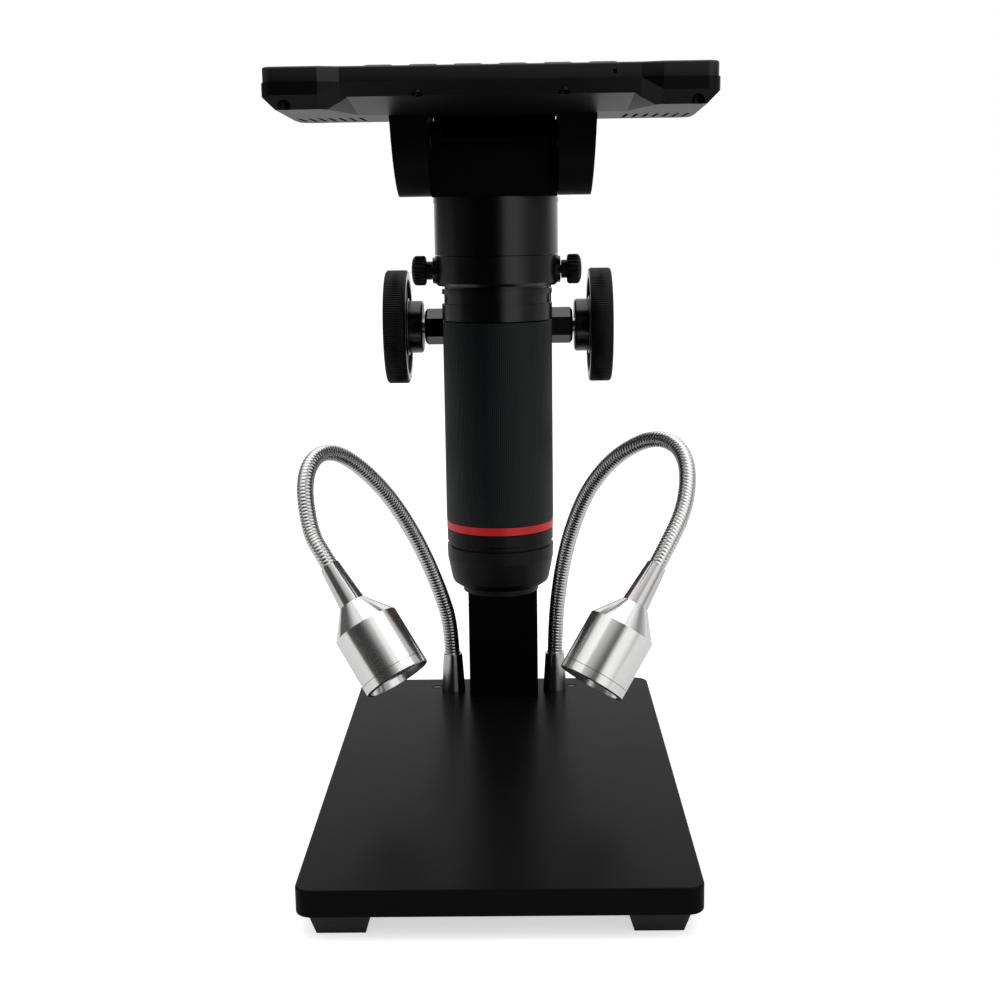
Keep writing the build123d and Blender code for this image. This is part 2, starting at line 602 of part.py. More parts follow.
with BuildPart() as column:
    with BuildSketch(Plane.XY.offset(PLATE_TOP)):
        with Locations((0, COLUMN_Y)):
            RectangleRounded(COLUMN_WIDTH, COLUMN_DEPTH, COLUMN_EDGE_RADIUS)
    extrude(amount=COLUMN_HEIGHT)
    block(
        (-RACK_WIDTH / 2, COLUMN_FRONT, RACK_BOTTOM),
        (RACK_WIDTH / 2, GROOVE_BOTTOM_Y, COLUMN_TOP),
        Mode.SUBTRACT,
    )
    for x, y in COLUMN_SCREW_PLACES:
        rod((x, y, PLATE_TOP), UP, COLUMN_SCREW_RADIUS, COLUMN_SCREW_BITE, Mode.SUBTRACT)
finish(column, "column")


def rack_outline():
    """Return the rack's side outline as (y, z) corners."""
    corners = [(GROOVE_BOTTOM_Y, COLUMN_TOP), (GROOVE_BOTTOM_Y, RACK_BOTTOM), (RACK_ROOT_Y, RACK_BOTTOM)]
    tip_y = RACK_PITCH_Y - RACK_ADDENDUM
    root_half = TOOTH_HALF_AT_PITCH + TOOTH_DEDENDUM * GEAR_MODULE * FLANK
    tip_half = TOOTH_HALF_AT_PITCH - RACK_ADDENDUM * FLANK
    lowest = math.ceil((RACK_BOTTOM + root_half - PINION_HEIGHT) / RACK_PITCH - 0.5)
    highest = math.floor((COLUMN_TOP - root_half - PINION_HEIGHT) / RACK_PITCH - 0.5)
    for number in range(lowest, highest + 1):
        z = PINION_HEIGHT + (number + 0.5) * RACK_PITCH
        corners += [(RACK_ROOT_Y, z - root_half), (tip_y, z - tip_half)]
        corners += [(tip_y, z + tip_half), (RACK_ROOT_Y, z + root_half)]
    corners.append((RACK_ROOT_Y, COLUMN_TOP))
    return corners


with BuildPart() as rack:
    with BuildSketch(Plane.YZ.offset(-RACK_WIDTH / 2)):
        with BuildLine():
            Polyline(*rack_outline(), close=True)
        make_face()
    extrude(amount=RACK_WIDTH)
finish(rack, "rack")

# ================================================================ focus carriage

with BuildPart() as focus_block:
    with BuildSketch(Plane.XY.offset(BLOCK_BOTTOM)):
        with Locations((0, (BLOCK_FRONT + CHANNEL_BACK + BLOCK_BACK_WALL) / 2)):
            RectangleRounded(
                2 * BLOCK_HALF_WIDTH,
                CHANNEL_BACK + BLOCK_BACK_WALL - BLOCK_FRONT,
                BLOCK_EDGE_RADIUS,
            )
    extrude(amount=BLOCK_TOP - BLOCK_BOTTOM)
    block(
        (-CHANNEL_HALF_WIDTH, CHANNEL_FRONT, BLOCK_BOTTOM),
        (CHANNEL_HALF_WIDTH, CHANNEL_BACK, BLOCK_TOP),
        Mode.SUBTRACT,
    )
    rod(
        (-BLOCK_HALF_WIDTH, PINION_Y, PINION_HEIGHT),
        RIGHT,
        BUSH_RADIUS,
        2 * BLOCK_HALF_WIDTH,
        Mode.SUBTRACT,
    )
    rod(
        (-PINION_CAVITY_HALF_WIDTH, PINION_Y, PINION_HEIGHT),
        RIGHT,
        PINION_CAVITY_RADIUS,
        2 * PINION_CAVITY_HALF_WIDTH,
        Mode.SUBTRACT,
    )
    block(
        (-PINION_CAVITY_HALF_WIDTH, PINION_Y, PINION_HEIGHT - PINION_CAVITY_RADIUS),
        (PINION_CAVITY_HALF_WIDTH, COLUMN_FRONT, PINION_HEIGHT + PINION_CAVITY_RADIUS),
        Mode.SUBTRACT,
    )
    for x, y in HOLDER_SCREW_PLACES:
        rod((x, y, BLOCK_TOP), DOWN, HOLDER_SCREW_RADIUS, HOLDER_SCREW_BITE, Mode.SUBTRACT)
finish(focus_block, "focus_block")

with BuildPart() as ring_holder:
    with BuildSketch(Plane.XY.offset(RING_BOTTOM)):
        with Locations((0, (AXIS_Y + BLOCK_FRONT + ARM_FOOT) / 2)):
            Rectangle(2 * ARM_HALF_WIDTH, BLOCK_FRONT + ARM_FOOT - AXIS_Y)
    extrude(amount=RING_HEIGHT)
    outline = [
        (0, RING_BOTTOM),
        (RING_RADIUS - RING_CHAMFER, RING_BOTTOM),
        (RING_RADIUS, RING_BOTTOM + RING_CHAMFER),
        (RING_RADIUS, RING_TOP),
        (0, RING_TOP),
    ]
    spin(TUBE_FOOT, UP, outline)
    for side in (-1, 1):
        rod((0, AXIS_Y, THUMBSCREW_HEIGHT), (side, 0, 0), BOSS_RADIUS, BOSS_REACH)
    rod((0, AXIS_Y, RING_BOTTOM), UP, RING_BORE_RADIUS, RING_HEIGHT, Mode.SUBTRACT)
    rod(
        (-BOSS_REACH, AXIS_Y, THUMBSCREW_HEIGHT),
        RIGHT,
        THUMBSCREW_RADIUS + SHAFT_GAP,
        2 * BOSS_REACH,
        Mode.SUBTRACT,
    )
    for x, y in HOLDER_SCREW_PLACES:
        rod((x, y, RING_BOTTOM), UP, HOLDER_SCREW_RADIUS, RING_HEIGHT, Mode.SUBTRACT)
        head_pocket = HOLDER_SCREW_HEAD_RADIUS + HEAD_ROOM
        rod((x, y, RING_TOP), DOWN, head_pocket, HOLDER_SCREW_HEAD_HEIGHT, Mode.SUBTRACT)
finish(ring_holder, "ring_holder")

with BuildPart() as holder_screws:
    for x, y in HOLDER_SCREW_PLACES:
        rod((x, y, RING_TOP), DOWN, HOLDER_SCREW_HEAD_RADIUS, HOLDER_SCREW_HEAD_HEIGHT)
        rod((x, y, RING_TOP), DOWN, HOLDER_SCREW_RADIUS, RING_HEIGHT + HOLDER_SCREW_BITE)
finish(holder_screws, "holder_screws")

with BuildPart() as shaft_bushes:
    for side in (-1, 1):
        tube(
            (side * PINION_CAVITY_HALF_WIDTH, PINION_Y, PINION_HEIGHT),
            (side, 0, 0),
            BUSH_BORE,
            BUSH_RADIUS,
            BLOCK_HALF_WIDTH - PINION_CAVITY_HALF_WIDTH,
        )
finish(shaft_bushes, "shaft_bushes")

with BuildPart() as tension_collars:
    for side in (-1, 1):
        start = (side * BLOCK_HALF_WIDTH, PINION_Y, PINION_HEIGHT)
        with BuildSketch(Plane(origin=start, x_dir=(0, 0, 1), z_dir=(side, 0, 0))):
            RegularPolygon(COLLAR_ACROSS_CORNERS / 2, 6)
            Circle(SHAFT_RADIUS + FIT_ROOM, mode=Mode.SUBTRACT)
        extrude(amount=COLLAR_LENGTH)
    collar_ends = tension_collars.faces().sort_by(Axis.X)
    for outer_face in (collar_ends[0], collar_ends[-1]):
        chamfer(outer_face.outer_wire().edges(), COLLAR_CHAMFER)
finish(tension_collars, "tension_collars")

# ================================================================ pinion, shaft and knobs


def involute_angle(radius):
    """Return how far an involute has turned, in radians, where it reaches a radius."""
    roll = math.sqrt(max(0.0, (radius / BASE_CIRCLE) ** 2 - 1))
    return roll - math.atan(roll)


def pinion_outline():
    """Return the pinion's corners, with the middle of its first tooth along the sketch's x."""
    half_at_pitch = (math.pi * GEAR_MODULE / 2 - BACKLASH) / 2 / PITCH_RADIUS
    corners = []
    for tooth in range(PINION_TEETH):
        middle = tooth * 2 * math.pi / PINION_TEETH
        step = (TIP_CIRCLE - BASE_CIRCLE) / (FLANK_POINTS - 1)
        radii = [BASE_CIRCLE + step * number for number in range(FLANK_POINTS)]
        halves = [half_at_pitch + involute_angle(PITCH_RADIUS) - involute_angle(radius) for radius in radii]
        flank = [(ROOT_CIRCLE, halves[0])] + list(zip(radii, halves))
        for radius, half in flank:
            corners.append((radius * math.cos(middle - half), radius * math.sin(middle - half)))
        for radius, half in reversed(flank):
            corners.append((radius * math.cos(middle + half), radius * math.sin(middle + half)))
    return corners


with BuildPart() as drive_pinion:
    face = Plane(origin=(-PINION_WIDTH / 2, PINION_Y, PINION_HEIGHT), x_dir=(0, 1, 0), z_dir=(1, 0, 0))
    with BuildSketch(face):
        with BuildLine():
            Polyline(*pinion_outline(), close=True)
        make_face()
        Circle(SHAFT_RADIUS, mode=Mode.SUBTRACT)
    extrude(amount=PINION_WIDTH)
finish(drive_pinion, "drive_pinion")


with BuildPart() as pinion_shaft:
    rod((-SHAFT_END, PINION_Y, PINION_HEIGHT), RIGHT, SHAFT_RADIUS, 2 * SHAFT_END)
finish(pinion_shaft, "pinion_shaft")


with BuildPart() as knob_hubs:
    for side in (-1, 1):
        outline = [
            (SHAFT_RADIUS, 0),
            (HUB_RADIUS - HUB_EDGE, 0),
            (HUB_RADIUS, HUB_EDGE),
            (HUB_RADIUS, HUB_LENGTH),
            (SHAFT_RADIUS, HUB_LENGTH),
        ]
        spin((side * HUB_START, PINION_Y, PINION_HEIGHT), (side, 0, 0), outline)
finish(knob_hubs, "knob_hubs")

with BuildPart() as focus_knobs:
    for side in (-1, 1):
        rim = KNOB_RADIUS - KNOB_RIM
        outline = [
            (SHAFT_RADIUS, 0),
            (KNOB_BOSS_RADIUS, 0),
            (KNOB_BOSS_RADIUS, KNOB_DISH),
            (rim, KNOB_DISH),
            (rim, 0),
            (KNOB_RADIUS - KNOB_CHAMFER, 0),
            (KNOB_RADIUS, KNOB_CHAMFER),
            (KNOB_RADIUS, KNOB_THICKNESS - KNOB_CHAMFER),
            (KNOB_RADIUS - KNOB_CHAMFER, KNOB_THICKNESS),
            (rim, KNOB_THICKNESS),
            (rim - KNOB_DISH, KNOB_THICKNESS - KNOB_DISH),
            (SHAFT_RADIUS, KNOB_THICKNESS - KNOB_DISH),
        ]
        spin((side * KNOB_START, PINION_Y, PINION_HEIGHT), (side, 0, 0), outline)
finish(focus_knobs, "focus_knobs")

# ================================================================ thumbscrews

for name, side in LAMP_SIDES.items():
    with BuildPart() as thumbscrew:
        outline = [
            (0, THUMBSCREW_TIP),
            (THUMBSCREW_RADIUS, THUMBSCREW_TIP),
            (THUMBSCREW_RADIUS, THUMBSCREW_NECK_START),
            (THUMBSCREW_NECK_RADIUS, THUMBSCREW_NECK_START),
            (THUMBSCREW_NECK_RADIUS, THUMBSCREW_HEAD_START),
            (THUMBSCREW_HEAD_RADIUS - THUMBSCREW_EDGE, THUMBSCREW_HEAD_START),
            (THUMBSCREW_HEAD_RADIUS, THUMBSCREW_HEAD_START + THUMBSCREW_EDGE),
            (THUMBSCREW_HEAD_RADIUS, THUMBSCREW_END - 3 * THUMBSCREW_EDGE),
            (THUMBSCREW_HEAD_RADIUS - THUMBSCREW_EDGE, THUMBSCREW_END - THUMBSCREW_EDGE),
            (THUMBSCREW_HEAD_RADIUS - 4 * THUMBSCREW_EDGE, THUMBSCREW_END),
            (0, THUMBSCREW_END),
        ]
        spin((0, AXIS_Y, THUMBSCREW_HEIGHT), (side, 0, 0), outline)
    finish(thumbscrew, f"thumbscrew_{name}")

# ================================================================ microscope tube
with BuildPart() as neck:
    outline = [
        (BARREL_NECK_RADIUS, NECK_BOTTOM),
        (NECK_RADIUS, NECK_BOTTOM),
        (NECK_RADIUS, NECK_TOP - NECK_FLANGE_HEIGHT),
        (NECK_FLANGE_RADIUS, NECK_TOP - NECK_FLANGE_HEIGHT),
        (NECK_FLANGE_RADIUS, NECK_TOP),
        (NECK_BORE_RADIUS, NECK_TOP),
        (NECK_BORE_RADIUS, SENSOR_SEAT),
        (BARREL_BORE_RADIUS + SENSOR_LEDGE, SENSOR_SEAT),
        (BARREL_BORE_RADIUS + SENSOR_LEDGE, BARREL_TOP),
        (BARREL_NECK_RADIUS, BARREL_TOP),
    ]
    spin(TUBE_FOOT, UP, outline)
finish(neck, "neck")

with BuildPart() as barrel_tube:
    outline = [
        (BARREL_BORE_RADIUS, LOWER_BAND_BOTTOM),
        (BARREL_RADIUS, LOWER_BAND_BOTTOM),
        (BARREL_RADIUS, COLLAR_RING_TOP),
        (BARREL_GROOVE_RADIUS, COLLAR_RING_TOP),
        (BARREL_GROOVE_RADIUS, BARREL_SHOULDER_TOP - BARREL_SHOULDER_HEIGHT),
        (BARREL_SHOULDER_RADIUS, BARREL_SHOULDER_TOP - BARREL_SHOULDER_HEIGHT),
        (BARREL_SHOULDER_RADIUS, BARREL_SHOULDER_TOP),
        (BARREL_NECK_RADIUS, BARREL_SHOULDER_TOP),
        (BARREL_NECK_RADIUS, BARREL_TOP),
        (BARREL_BORE_RADIUS, BARREL_TOP),
    ]
    spin(TUBE_FOOT, UP, outline)
    slot_half = GUIDE_PIN_RADIUS + SLIDE_GAP
    slot_reach = LENS_TRAVEL + GUIDE_PIN_RADIUS + SLOT_SPARE
    block(
        (-BARREL_RADIUS, AXIS_Y - slot_half, GUIDE_PIN_HEIGHT - slot_reach),
        (BARREL_RADIUS, AXIS_Y + slot_half, GUIDE_PIN_HEIGHT + slot_reach),
        Mode.SUBTRACT,
    )
finish(barrel_tube, "barrel_tube")

with BuildPart() as barrel_collar:
    tube(
        (0, AXIS_Y, COLLAR_RING_BOTTOM),
        UP,
        BARREL_RADIUS,
        BARREL_SHOULDER_RADIUS,
        COLLAR_RING_TOP - COLLAR_RING_BOTTOM,
    )
finish(barrel_collar, "barrel_collar")

with BuildPart() as focus_grip:
    tube((0, AXIS_Y, RED_RING_TOP), UP, GRIP_BORE_RADIUS, GRIP_RADIUS, GRIP_TOP - RED_RING_TOP)
finish(focus_grip, "focus_grip")

with BuildPart() as red_ring:
    ring_bottom = NOSE_TOP + SLIDE_GAP
    tube((0, AXIS_Y, ring_bottom), UP, GRIP_BORE_RADIUS, RED_RING_RADIUS, RED_RING_TOP - ring_bottom)
finish(red_ring, "red_ring")

with BuildPart() as barrel_nose:
    outline = [
        (BARREL_RADIUS, NOSE_TOP),
        (BAND_RADIUS, NOSE_TOP),
        (BAND_RADIUS, BAND_BOTTOM),
        (NOSE_GROOVE_RADIUS, BAND_BOTTOM - BAND_STEP),
        (NOSE_GROOVE_RADIUS, LOWER_BAND_TOP + BAND_STEP),
        (LOWER_BAND_RADIUS, LOWER_BAND_TOP),
        (BAND_RADIUS, LOWER_BAND_BOTTOM),
        (TAPER_RADIUS, TAPER_BOTTOM),
        (TAPER_RADIUS - TIP_BEVEL / 2, TAPER_BOTTOM - TIP_BEVEL),
        (NOSE_TIP_RADIUS, NOSE_TIP),
        (FILTER_SPIGOT_RADIUS, NOSE_TIP),
        (FILTER_SPIGOT_RADIUS, NOSE_TIP + FILTER_SPIGOT_LENGTH),
        (NOSE_BORE_RADIUS, NOSE_TIP + FILTER_SPIGOT_LENGTH),
        (BARREL_BORE_RADIUS, LOWER_BAND_BOTTOM),
        (BARREL_RADIUS, LOWER_BAND_BOTTOM),
    ]
    spin(TUBE_FOOT, UP, outline)
finish(barrel_nose, "barrel_nose")

with BuildPart() as filter_ring:
    outline = [
        (FILTER_THREAD_RADIUS, FILTER_RING_BOTTOM),
        (FILTER_RING_RADIUS, FILTER_RING_BOTTOM),
        (FILTER_RING_RADIUS, NOSE_TIP),
        (FILTER_SPIGOT_RADIUS, NOSE_TIP),
        (FILTER_SPIGOT_RADIUS, NOSE_TIP + FILTER_SPIGOT_LENGTH),
        (FILTER_THREAD_RADIUS, NOSE_TIP + FILTER_SPIGOT_LENGTH),
    ]
    spin(TUBE_FOOT, UP, outline)
finish(filter_ring, "filter_ring")


with BuildPart() as lens_cell:
    tube((0, AXIS_Y, LENS_CELL_BOTTOM), UP, LENS_BORE, LENS_CELL_RADIUS, LENS_CELL_LENGTH)
    for seat in LENS_SEATS:
        rod((0, AXIS_Y, seat), UP, LENS_RADIUS, LENS_HEIGHT, Mode.SUBTRACT)
    for side in (-1, 1):
        pin_start = (side * GUIDE_PIN_ROOT, AXIS_Y, GUIDE_PIN_HEIGHT)
        pin_length = BARREL_RADIUS - GUIDE_PIN_SETBACK - GUIDE_PIN_ROOT
        rod(pin_start, (side, 0, 0), GUIDE_PIN_RADIUS, pin_length)
finish(lens_cell, "lens_cell")


with BuildPart() as lens_elements:
    for seat in LENS_SEATS:
        bulge = (LENS_RADIUS**2 + LENS_CROWN**2) / (2 * LENS_CROWN)
        half_edge = LENS_HEIGHT / 2 - LENS_CROWN
        middle = seat + LENS_HEIGHT / 2
        with BuildSketch(Plane(origin=(0, AXIS_Y, middle), x_dir=(1, 0, 0), z_dir=(0, -1, 0))):
            with BuildLine():
                edge = Line((LENS_RADIUS, -half_edge), (LENS_RADIUS, half_edge))
                top = RadiusArc(edge @ 1, (0, LENS_HEIGHT / 2), -bulge)
                mid = Line(top @ 1, (0, -LENS_HEIGHT / 2))
                RadiusArc(mid @ 1, edge @ 0, -bulge)
            make_face()
        revolve(axis=Axis((0, AXIS_Y, 0), UP))
finish(lens_elements, "lens_elements")


with BuildPart() as sensor_board:
    rod((0, AXIS_Y, SENSOR_SEAT), UP, NECK_BORE_RADIUS, BOARD_THICKNESS)
    block(
        (-SENSOR_SIZE / 2, AXIS_Y - SENSOR_SIZE / 2, SENSOR_SEAT - SENSOR_HEIGHT),
        (SENSOR_SIZE / 2, AXIS_Y + SENSOR_SIZE / 2, SENSOR_SEAT),
    )
finish(sensor_board, "sensor_board")

# ================================================================ head block and hinge

with BuildPart() as head_block:
    block(
        (-HEAD_HALF_WIDTH, HEAD_FRONT, HEAD_BOTTOM),
        (HEAD_HALF_WIDTH, HEAD_FRONT + HEAD_DEPTH, HEAD_TOP),
    )
    block(
        (-HEAD_HALF_WIDTH + HEAD_WALL, HEAD_FRONT + HEAD_WALL, HEAD_BOTTOM + HEAD_WALL),
        (HEAD_HALF_WIDTH - HEAD_WALL, HEAD_FRONT + HEAD_DEPTH - HEAD_WALL, HEAD_TOP),
        Mode.SUBTRACT,
    )
    for side in (-1, 1):
        lug_start = (side * COVER_HALF_WIDTH, HINGE_Y, HINGE_HEIGHT)
        lug_inner, lug_outer = sorted((side * COVER_HALF_WIDTH, side * HEAD_HALF_WIDTH))
        rod(lug_start, (side, 0, 0), LUG_RADIUS, HEAD_HALF_WIDTH - COVER_HALF_WIDTH)
        block(
            (lug_inner, HINGE_Y - LUG_RADIUS, HEAD_BOTTOM + LUG_FOOT),
            (lug_outer, HINGE_Y + LUG_RADIUS, HINGE_HEIGHT),
        )
        block(
            (lug_inner, HINGE_Y, HEAD_BOTTOM + LUG_FOOT),
            (lug_outer, HEAD_FRONT + HEAD_DEPTH, CHEEK_TOP),
        )
        block(
            (lug_inner, SADDLE_START, HEAD_BOTTOM + LUG_FOOT),
            (lug_outer, HEAD_FRONT + HEAD_DEPTH, COVER_TOP),
        )
    for x, y in POST_PLACES:
        rod((x, y, HEAD_BOTTOM + HEAD_WALL), UP, POST_RADIUS, POST_TOP - HEAD_BOTTOM - HEAD_WALL)
        rod((x, y, POST_TOP), DOWN, COVER_SCREW_RADIUS, COVER_SCREW_LENGTH, Mode.SUBTRACT)
    tube(
        (0, AXIS_Y, BOARD_TOP), UP, NECK_BORE_RADIUS - SPIGOT_WALL, NECK_BORE_RADIUS, HEAD_BOTTOM - BOARD_TOP
    )
    rod((WIRE_HOLE_X, AXIS_Y, HEAD_BOTTOM), UP, WIRE_HOLE_RADIUS, HEAD_WALL, Mode.SUBTRACT)
    for side in (-1, 1):
        lug_start = (side * COVER_HALF_WIDTH, HINGE_Y, HINGE_HEIGHT)
        rod(lug_start, (side, 0, 0), PIN_RADIUS, HEAD_HALF_WIDTH - COVER_HALF_WIDTH, Mode.SUBTRACT)
finish(head_block, "head_block")


def cover_solid(margin):
    """Loft the cover's outside, or its inside when the margin is the wall."""
    depth = HEAD_DEPTH - 2 * COVER_SETBACK - 2 * margin
    width = 2 * (COVER_HALF_WIDTH - margin)
    with BuildPart() as body:
        with BuildSketch(Plane((0, AXIS_Y, HEAD_TOP))):
            Rectangle(width, depth)
        extrude(amount=COVER_STEP_HEIGHT)
        with BuildSketch(Plane((0, AXIS_Y, COVER_STEP_TOP))):
            Rectangle(width, depth)
        with BuildSketch(Plane((0, AXIS_Y, COVER_TOP - margin))):
            Rectangle(2 * COVER_TOP_HALF_WIDTH - margin, COVER_TOP_DEPTH - margin)
        loft()
        block(
            (-width / 2, SADDLE_START + margin, HEAD_TOP),
            (width / 2, AXIS_Y + depth / 2, COVER_TOP - margin),
        )
    return body.part


with BuildPart() as head_cover:
    add(cover_solid(0))
    add(cover_solid(COVER_WALL), mode=Mode.SUBTRACT)
    for x, y in POST_PLACES:
        rod((x, y, COVER_TOP), DOWN, COVER_SCREW_RADIUS, 2 * COVER_WALL, Mode.SUBTRACT)
        rod((x, y, COVER_TOP), DOWN, COVER_SCREW_HEAD_RADIUS + HEAD_ROOM, COVER_WALL / 2, Mode.SUBTRACT)
finish(head_cover, "head_cover")

with BuildPart() as cover_screws:
    for x, y in POST_PLACES:
        rod((x, y, COVER_TOP), DOWN, COVER_SCREW_HEAD_RADIUS, COVER_WALL / 2)
        rod((x, y, COVER_TOP), DOWN, COVER_SCREW_RADIUS, COVER_WALL + COVER_SCREW_LENGTH)
finish(cover_screws, "cover_screws")


with BuildPart() as hinge_pins:
    for side in (-1, 1):
        pin_start = (side * COVER_HALF_WIDTH, HINGE_Y, HINGE_HEIGHT)
        rod(pin_start, (side, 0, 0), PIN_RADIUS, PIN_END - COVER_HALF_WIDTH)
finish(hinge_pins, "hinge_pins")

# ================================================================ monitor

with BuildPart() as hinge_ears:
    for side in (-1, 1):
        inner = Plane.YZ.offset(side * EAR_INNER)
        with BuildSketch(inner):
            Circle(EAR_RADIUS)
            with Locations((0, BACK_HEIGHT / 2)):
                Rectangle(2 * EAR_RADIUS, BACK_HEIGHT)
            with Locations((0, EAR_RADIUS + BACK_HEIGHT / 2)):
                Rectangle(2 * EAR_RADIUS, 2 * EAR_RADIUS - BACK_HEIGHT, mode=Mode.SUBTRACT)
        extrude(amount=side * (EAR_OUTER_TOP - EAR_INNER))
        slant = (side * (BACK_HEIGHT + EAR_RADIUS), 0, EAR_OUTER_BOTTOM - EAR_OUTER_TOP)
        cut = Plane(origin=(side * EAR_OUTER_TOP, 0, BACK_HEIGHT), z_dir=slant)
        with BuildSketch(cut):
            Rectangle(4 * EAR_RADIUS, 4 * EAR_RADIUS)
        extrude(amount=EAR_OUTER_TOP - EAR_INNER, mode=Mode.SUBTRACT)
        pin_hole_length = PIN_END + SLIDE_GAP - EAR_INNER
        rod((side * EAR_INNER, 0, 0), (side, 0, 0), PIN_RADIUS + SHAFT_GAP, pin_hole_length, Mode.SUBTRACT)
    for x, y in EAR_SCREW_PLACES:
        rod((x, y, BACK_HEIGHT), DOWN, EAR_SCREW_RADIUS, EAR_SCREW_BITE, Mode.SUBTRACT)
finish(hinge_ears, "hinge_ears", TILTED)

with BuildPart() as ear_screws:
    for x, y in EAR_SCREW_PLACES:
        rod((x, y, FLOOR_TOP), UP, EAR_SCREW_HEAD_RADIUS, EAR_SCREW_HEAD_HEIGHT)
        rod((x, y, FLOOR_TOP), DOWN, EAR_SCREW_RADIUS, SHELL_WALL + EAR_SCREW_BITE)
finish(ear_screws, "ear_screws", TILTED)


def monitor_outline(margin):
    """Return the plan outline of the monitor as corners, shrunk by a margin."""
    half = MONITOR_HALF_WIDTH - margin
    near = -NEAR_REACH + margin
    far = FAR_REACH - margin
    inner = RECESS_HALF_WIDTH
    outer = BLOCK_START
    recessed = near + EDGE_RECESS
    return [
        (-half, near), (-outer, near), (-inner, recessed), (inner, recessed),
        (outer, near), (half, near), (half, far), (-half, far),
    ]


def monitor_slab(low, high, margin, corner):
    """Extrude the monitor's outline between two heights, with its four outer corners rounded."""
    with BuildPart() as slab:
        with BuildSketch(Plane.XY.offset(low)):
            with BuildLine():
                Polyline(*monitor_outline(margin), close=True)
            make_face()
        extrude(amount=high - low)
        if corner > 0:
            uprights = slab.edges().filter_by(Axis.Z)
            outer = uprights.filter_by(lambda edge: abs(edge.center().X) > MONITOR_HALF_WIDTH - margin - 0.1)
            fillet(outer, corner)
    return slab.part


def cut_outside(foot, across, along, margin, mode):
    """Put a thick sheet outside the plane through foot, moved inwards by a margin, into the open part."""
    outward = across.cross(along).normalized()
    if outward.X * foot.X < 0:
        outward = -outward
    with BuildSketch(Plane(origin=foot - outward * margin, x_dir=along.normalized(), z_dir=outward)) as sheet:
        Rectangle(4 * NEAR_REACH, 2 * NEAR_REACH)
    extrude(sheet.sketch, amount=NEAR_REACH, mode=mode)


def edge_cutter(margin):
    """Make what is cut from the rear shell's near and side edges, moved inwards by a margin."""
    reach = MONITOR_HALF_WIDTH + CUTTER_SPARE
    deep = NEAR_REACH + CUTTER_SPARE
    shift = margin * math.sqrt(2)
    block_line = -NEAR_REACH + BACK_HEIGHT + CHAMFER + shift
    middle_line = -NEAR_REACH + EDGE_RECESS + PARTING + shift
    low = BACK_HEIGHT - CUTTER_SPARE
    stations = [(-reach, block_line), (-BLOCK_START, block_line), (-RECESS_HALF_WIDTH, middle_line)]
    stations += [(-x, line) for x, line in reversed(stations)]
    with BuildPart() as cutter:
        for (start_x, start_line), (end_x, end_line) in zip(stations, stations[1:]):
            for x, line in ((start_x, start_line), (end_x, end_line)):
                with BuildSketch(Plane.YZ.offset(x)):
                    with BuildLine():
                        Polyline((-deep, line + deep), (-deep, low), (line - low, low), close=True)
                    make_face()
            loft(ruled=True)
        for side in (-1, 1):
            foot = Vector(side * (MONITOR_HALF_WIDTH - CHAMFER), -NEAR_REACH, BACK_HEIGHT)
            along = Vector(side * CHAMFER, NEAR_REACH + SIDE_CHAMFER_END, 0)
            cut_outside(foot, Vector(side * CHAMFER, 0, CHAMFER), along, margin, Mode.ADD)
    return cutter.part


def ramp_cutter(margin):
    """Make the shallow ramp that thins the middle of the back towards the near edge."""
    start = -NEAR_REACH - CUTTER_SPARE
    rise_end = -NEAR_REACH + EDGE_RECESS + PARTING - (BACK_HEIGHT + NEAR_THINNING)
    slope = NEAR_THINNING / (RAMP_END - rise_end)
    top = BACK_HEIGHT + NEAR_THINNING + slope * (rise_end - start) + margin
    low = BACK_HEIGHT - CUTTER_SPARE
    end = RAMP_END + (margin + CUTTER_SPARE) / slope
    with BuildPart() as cutter:
        with BuildSketch(Plane.YZ):
            with BuildLine():
                Polyline((start, top), (start, low), (end, low), close=True)
            make_face()
        extrude(amount=RAMP_HALF_WIDTH + RAMP_SIDE + margin, both=True)
        for side in (-1, 1):
            foot = Vector(side * RAMP_HALF_WIDTH, rise_end, BACK_HEIGHT + NEAR_THINNING)
            along = Vector(0, RAMP_END - rise_end, -NEAR_THINNING)
            cut_outside(foot, Vector(side * RAMP_SIDE, 0, -NEAR_THINNING), along, -margin, Mode.SUBTRACT)
    return cutter.part


def back_body(margin, ceiling):
    """Make the rear shell's outside, or its inside when the margin is the wall."""
    with BuildPart() as body:
        add(monitor_slab(BACK_HEIGHT + margin, ceiling, margin, MONITOR_CORNER_RADIUS - margin))
        add(edge_cutter(margin), mode=Mode.SUBTRACT)
        add(ramp_cutter(margin), mode=Mode.SUBTRACT)
    return body.part


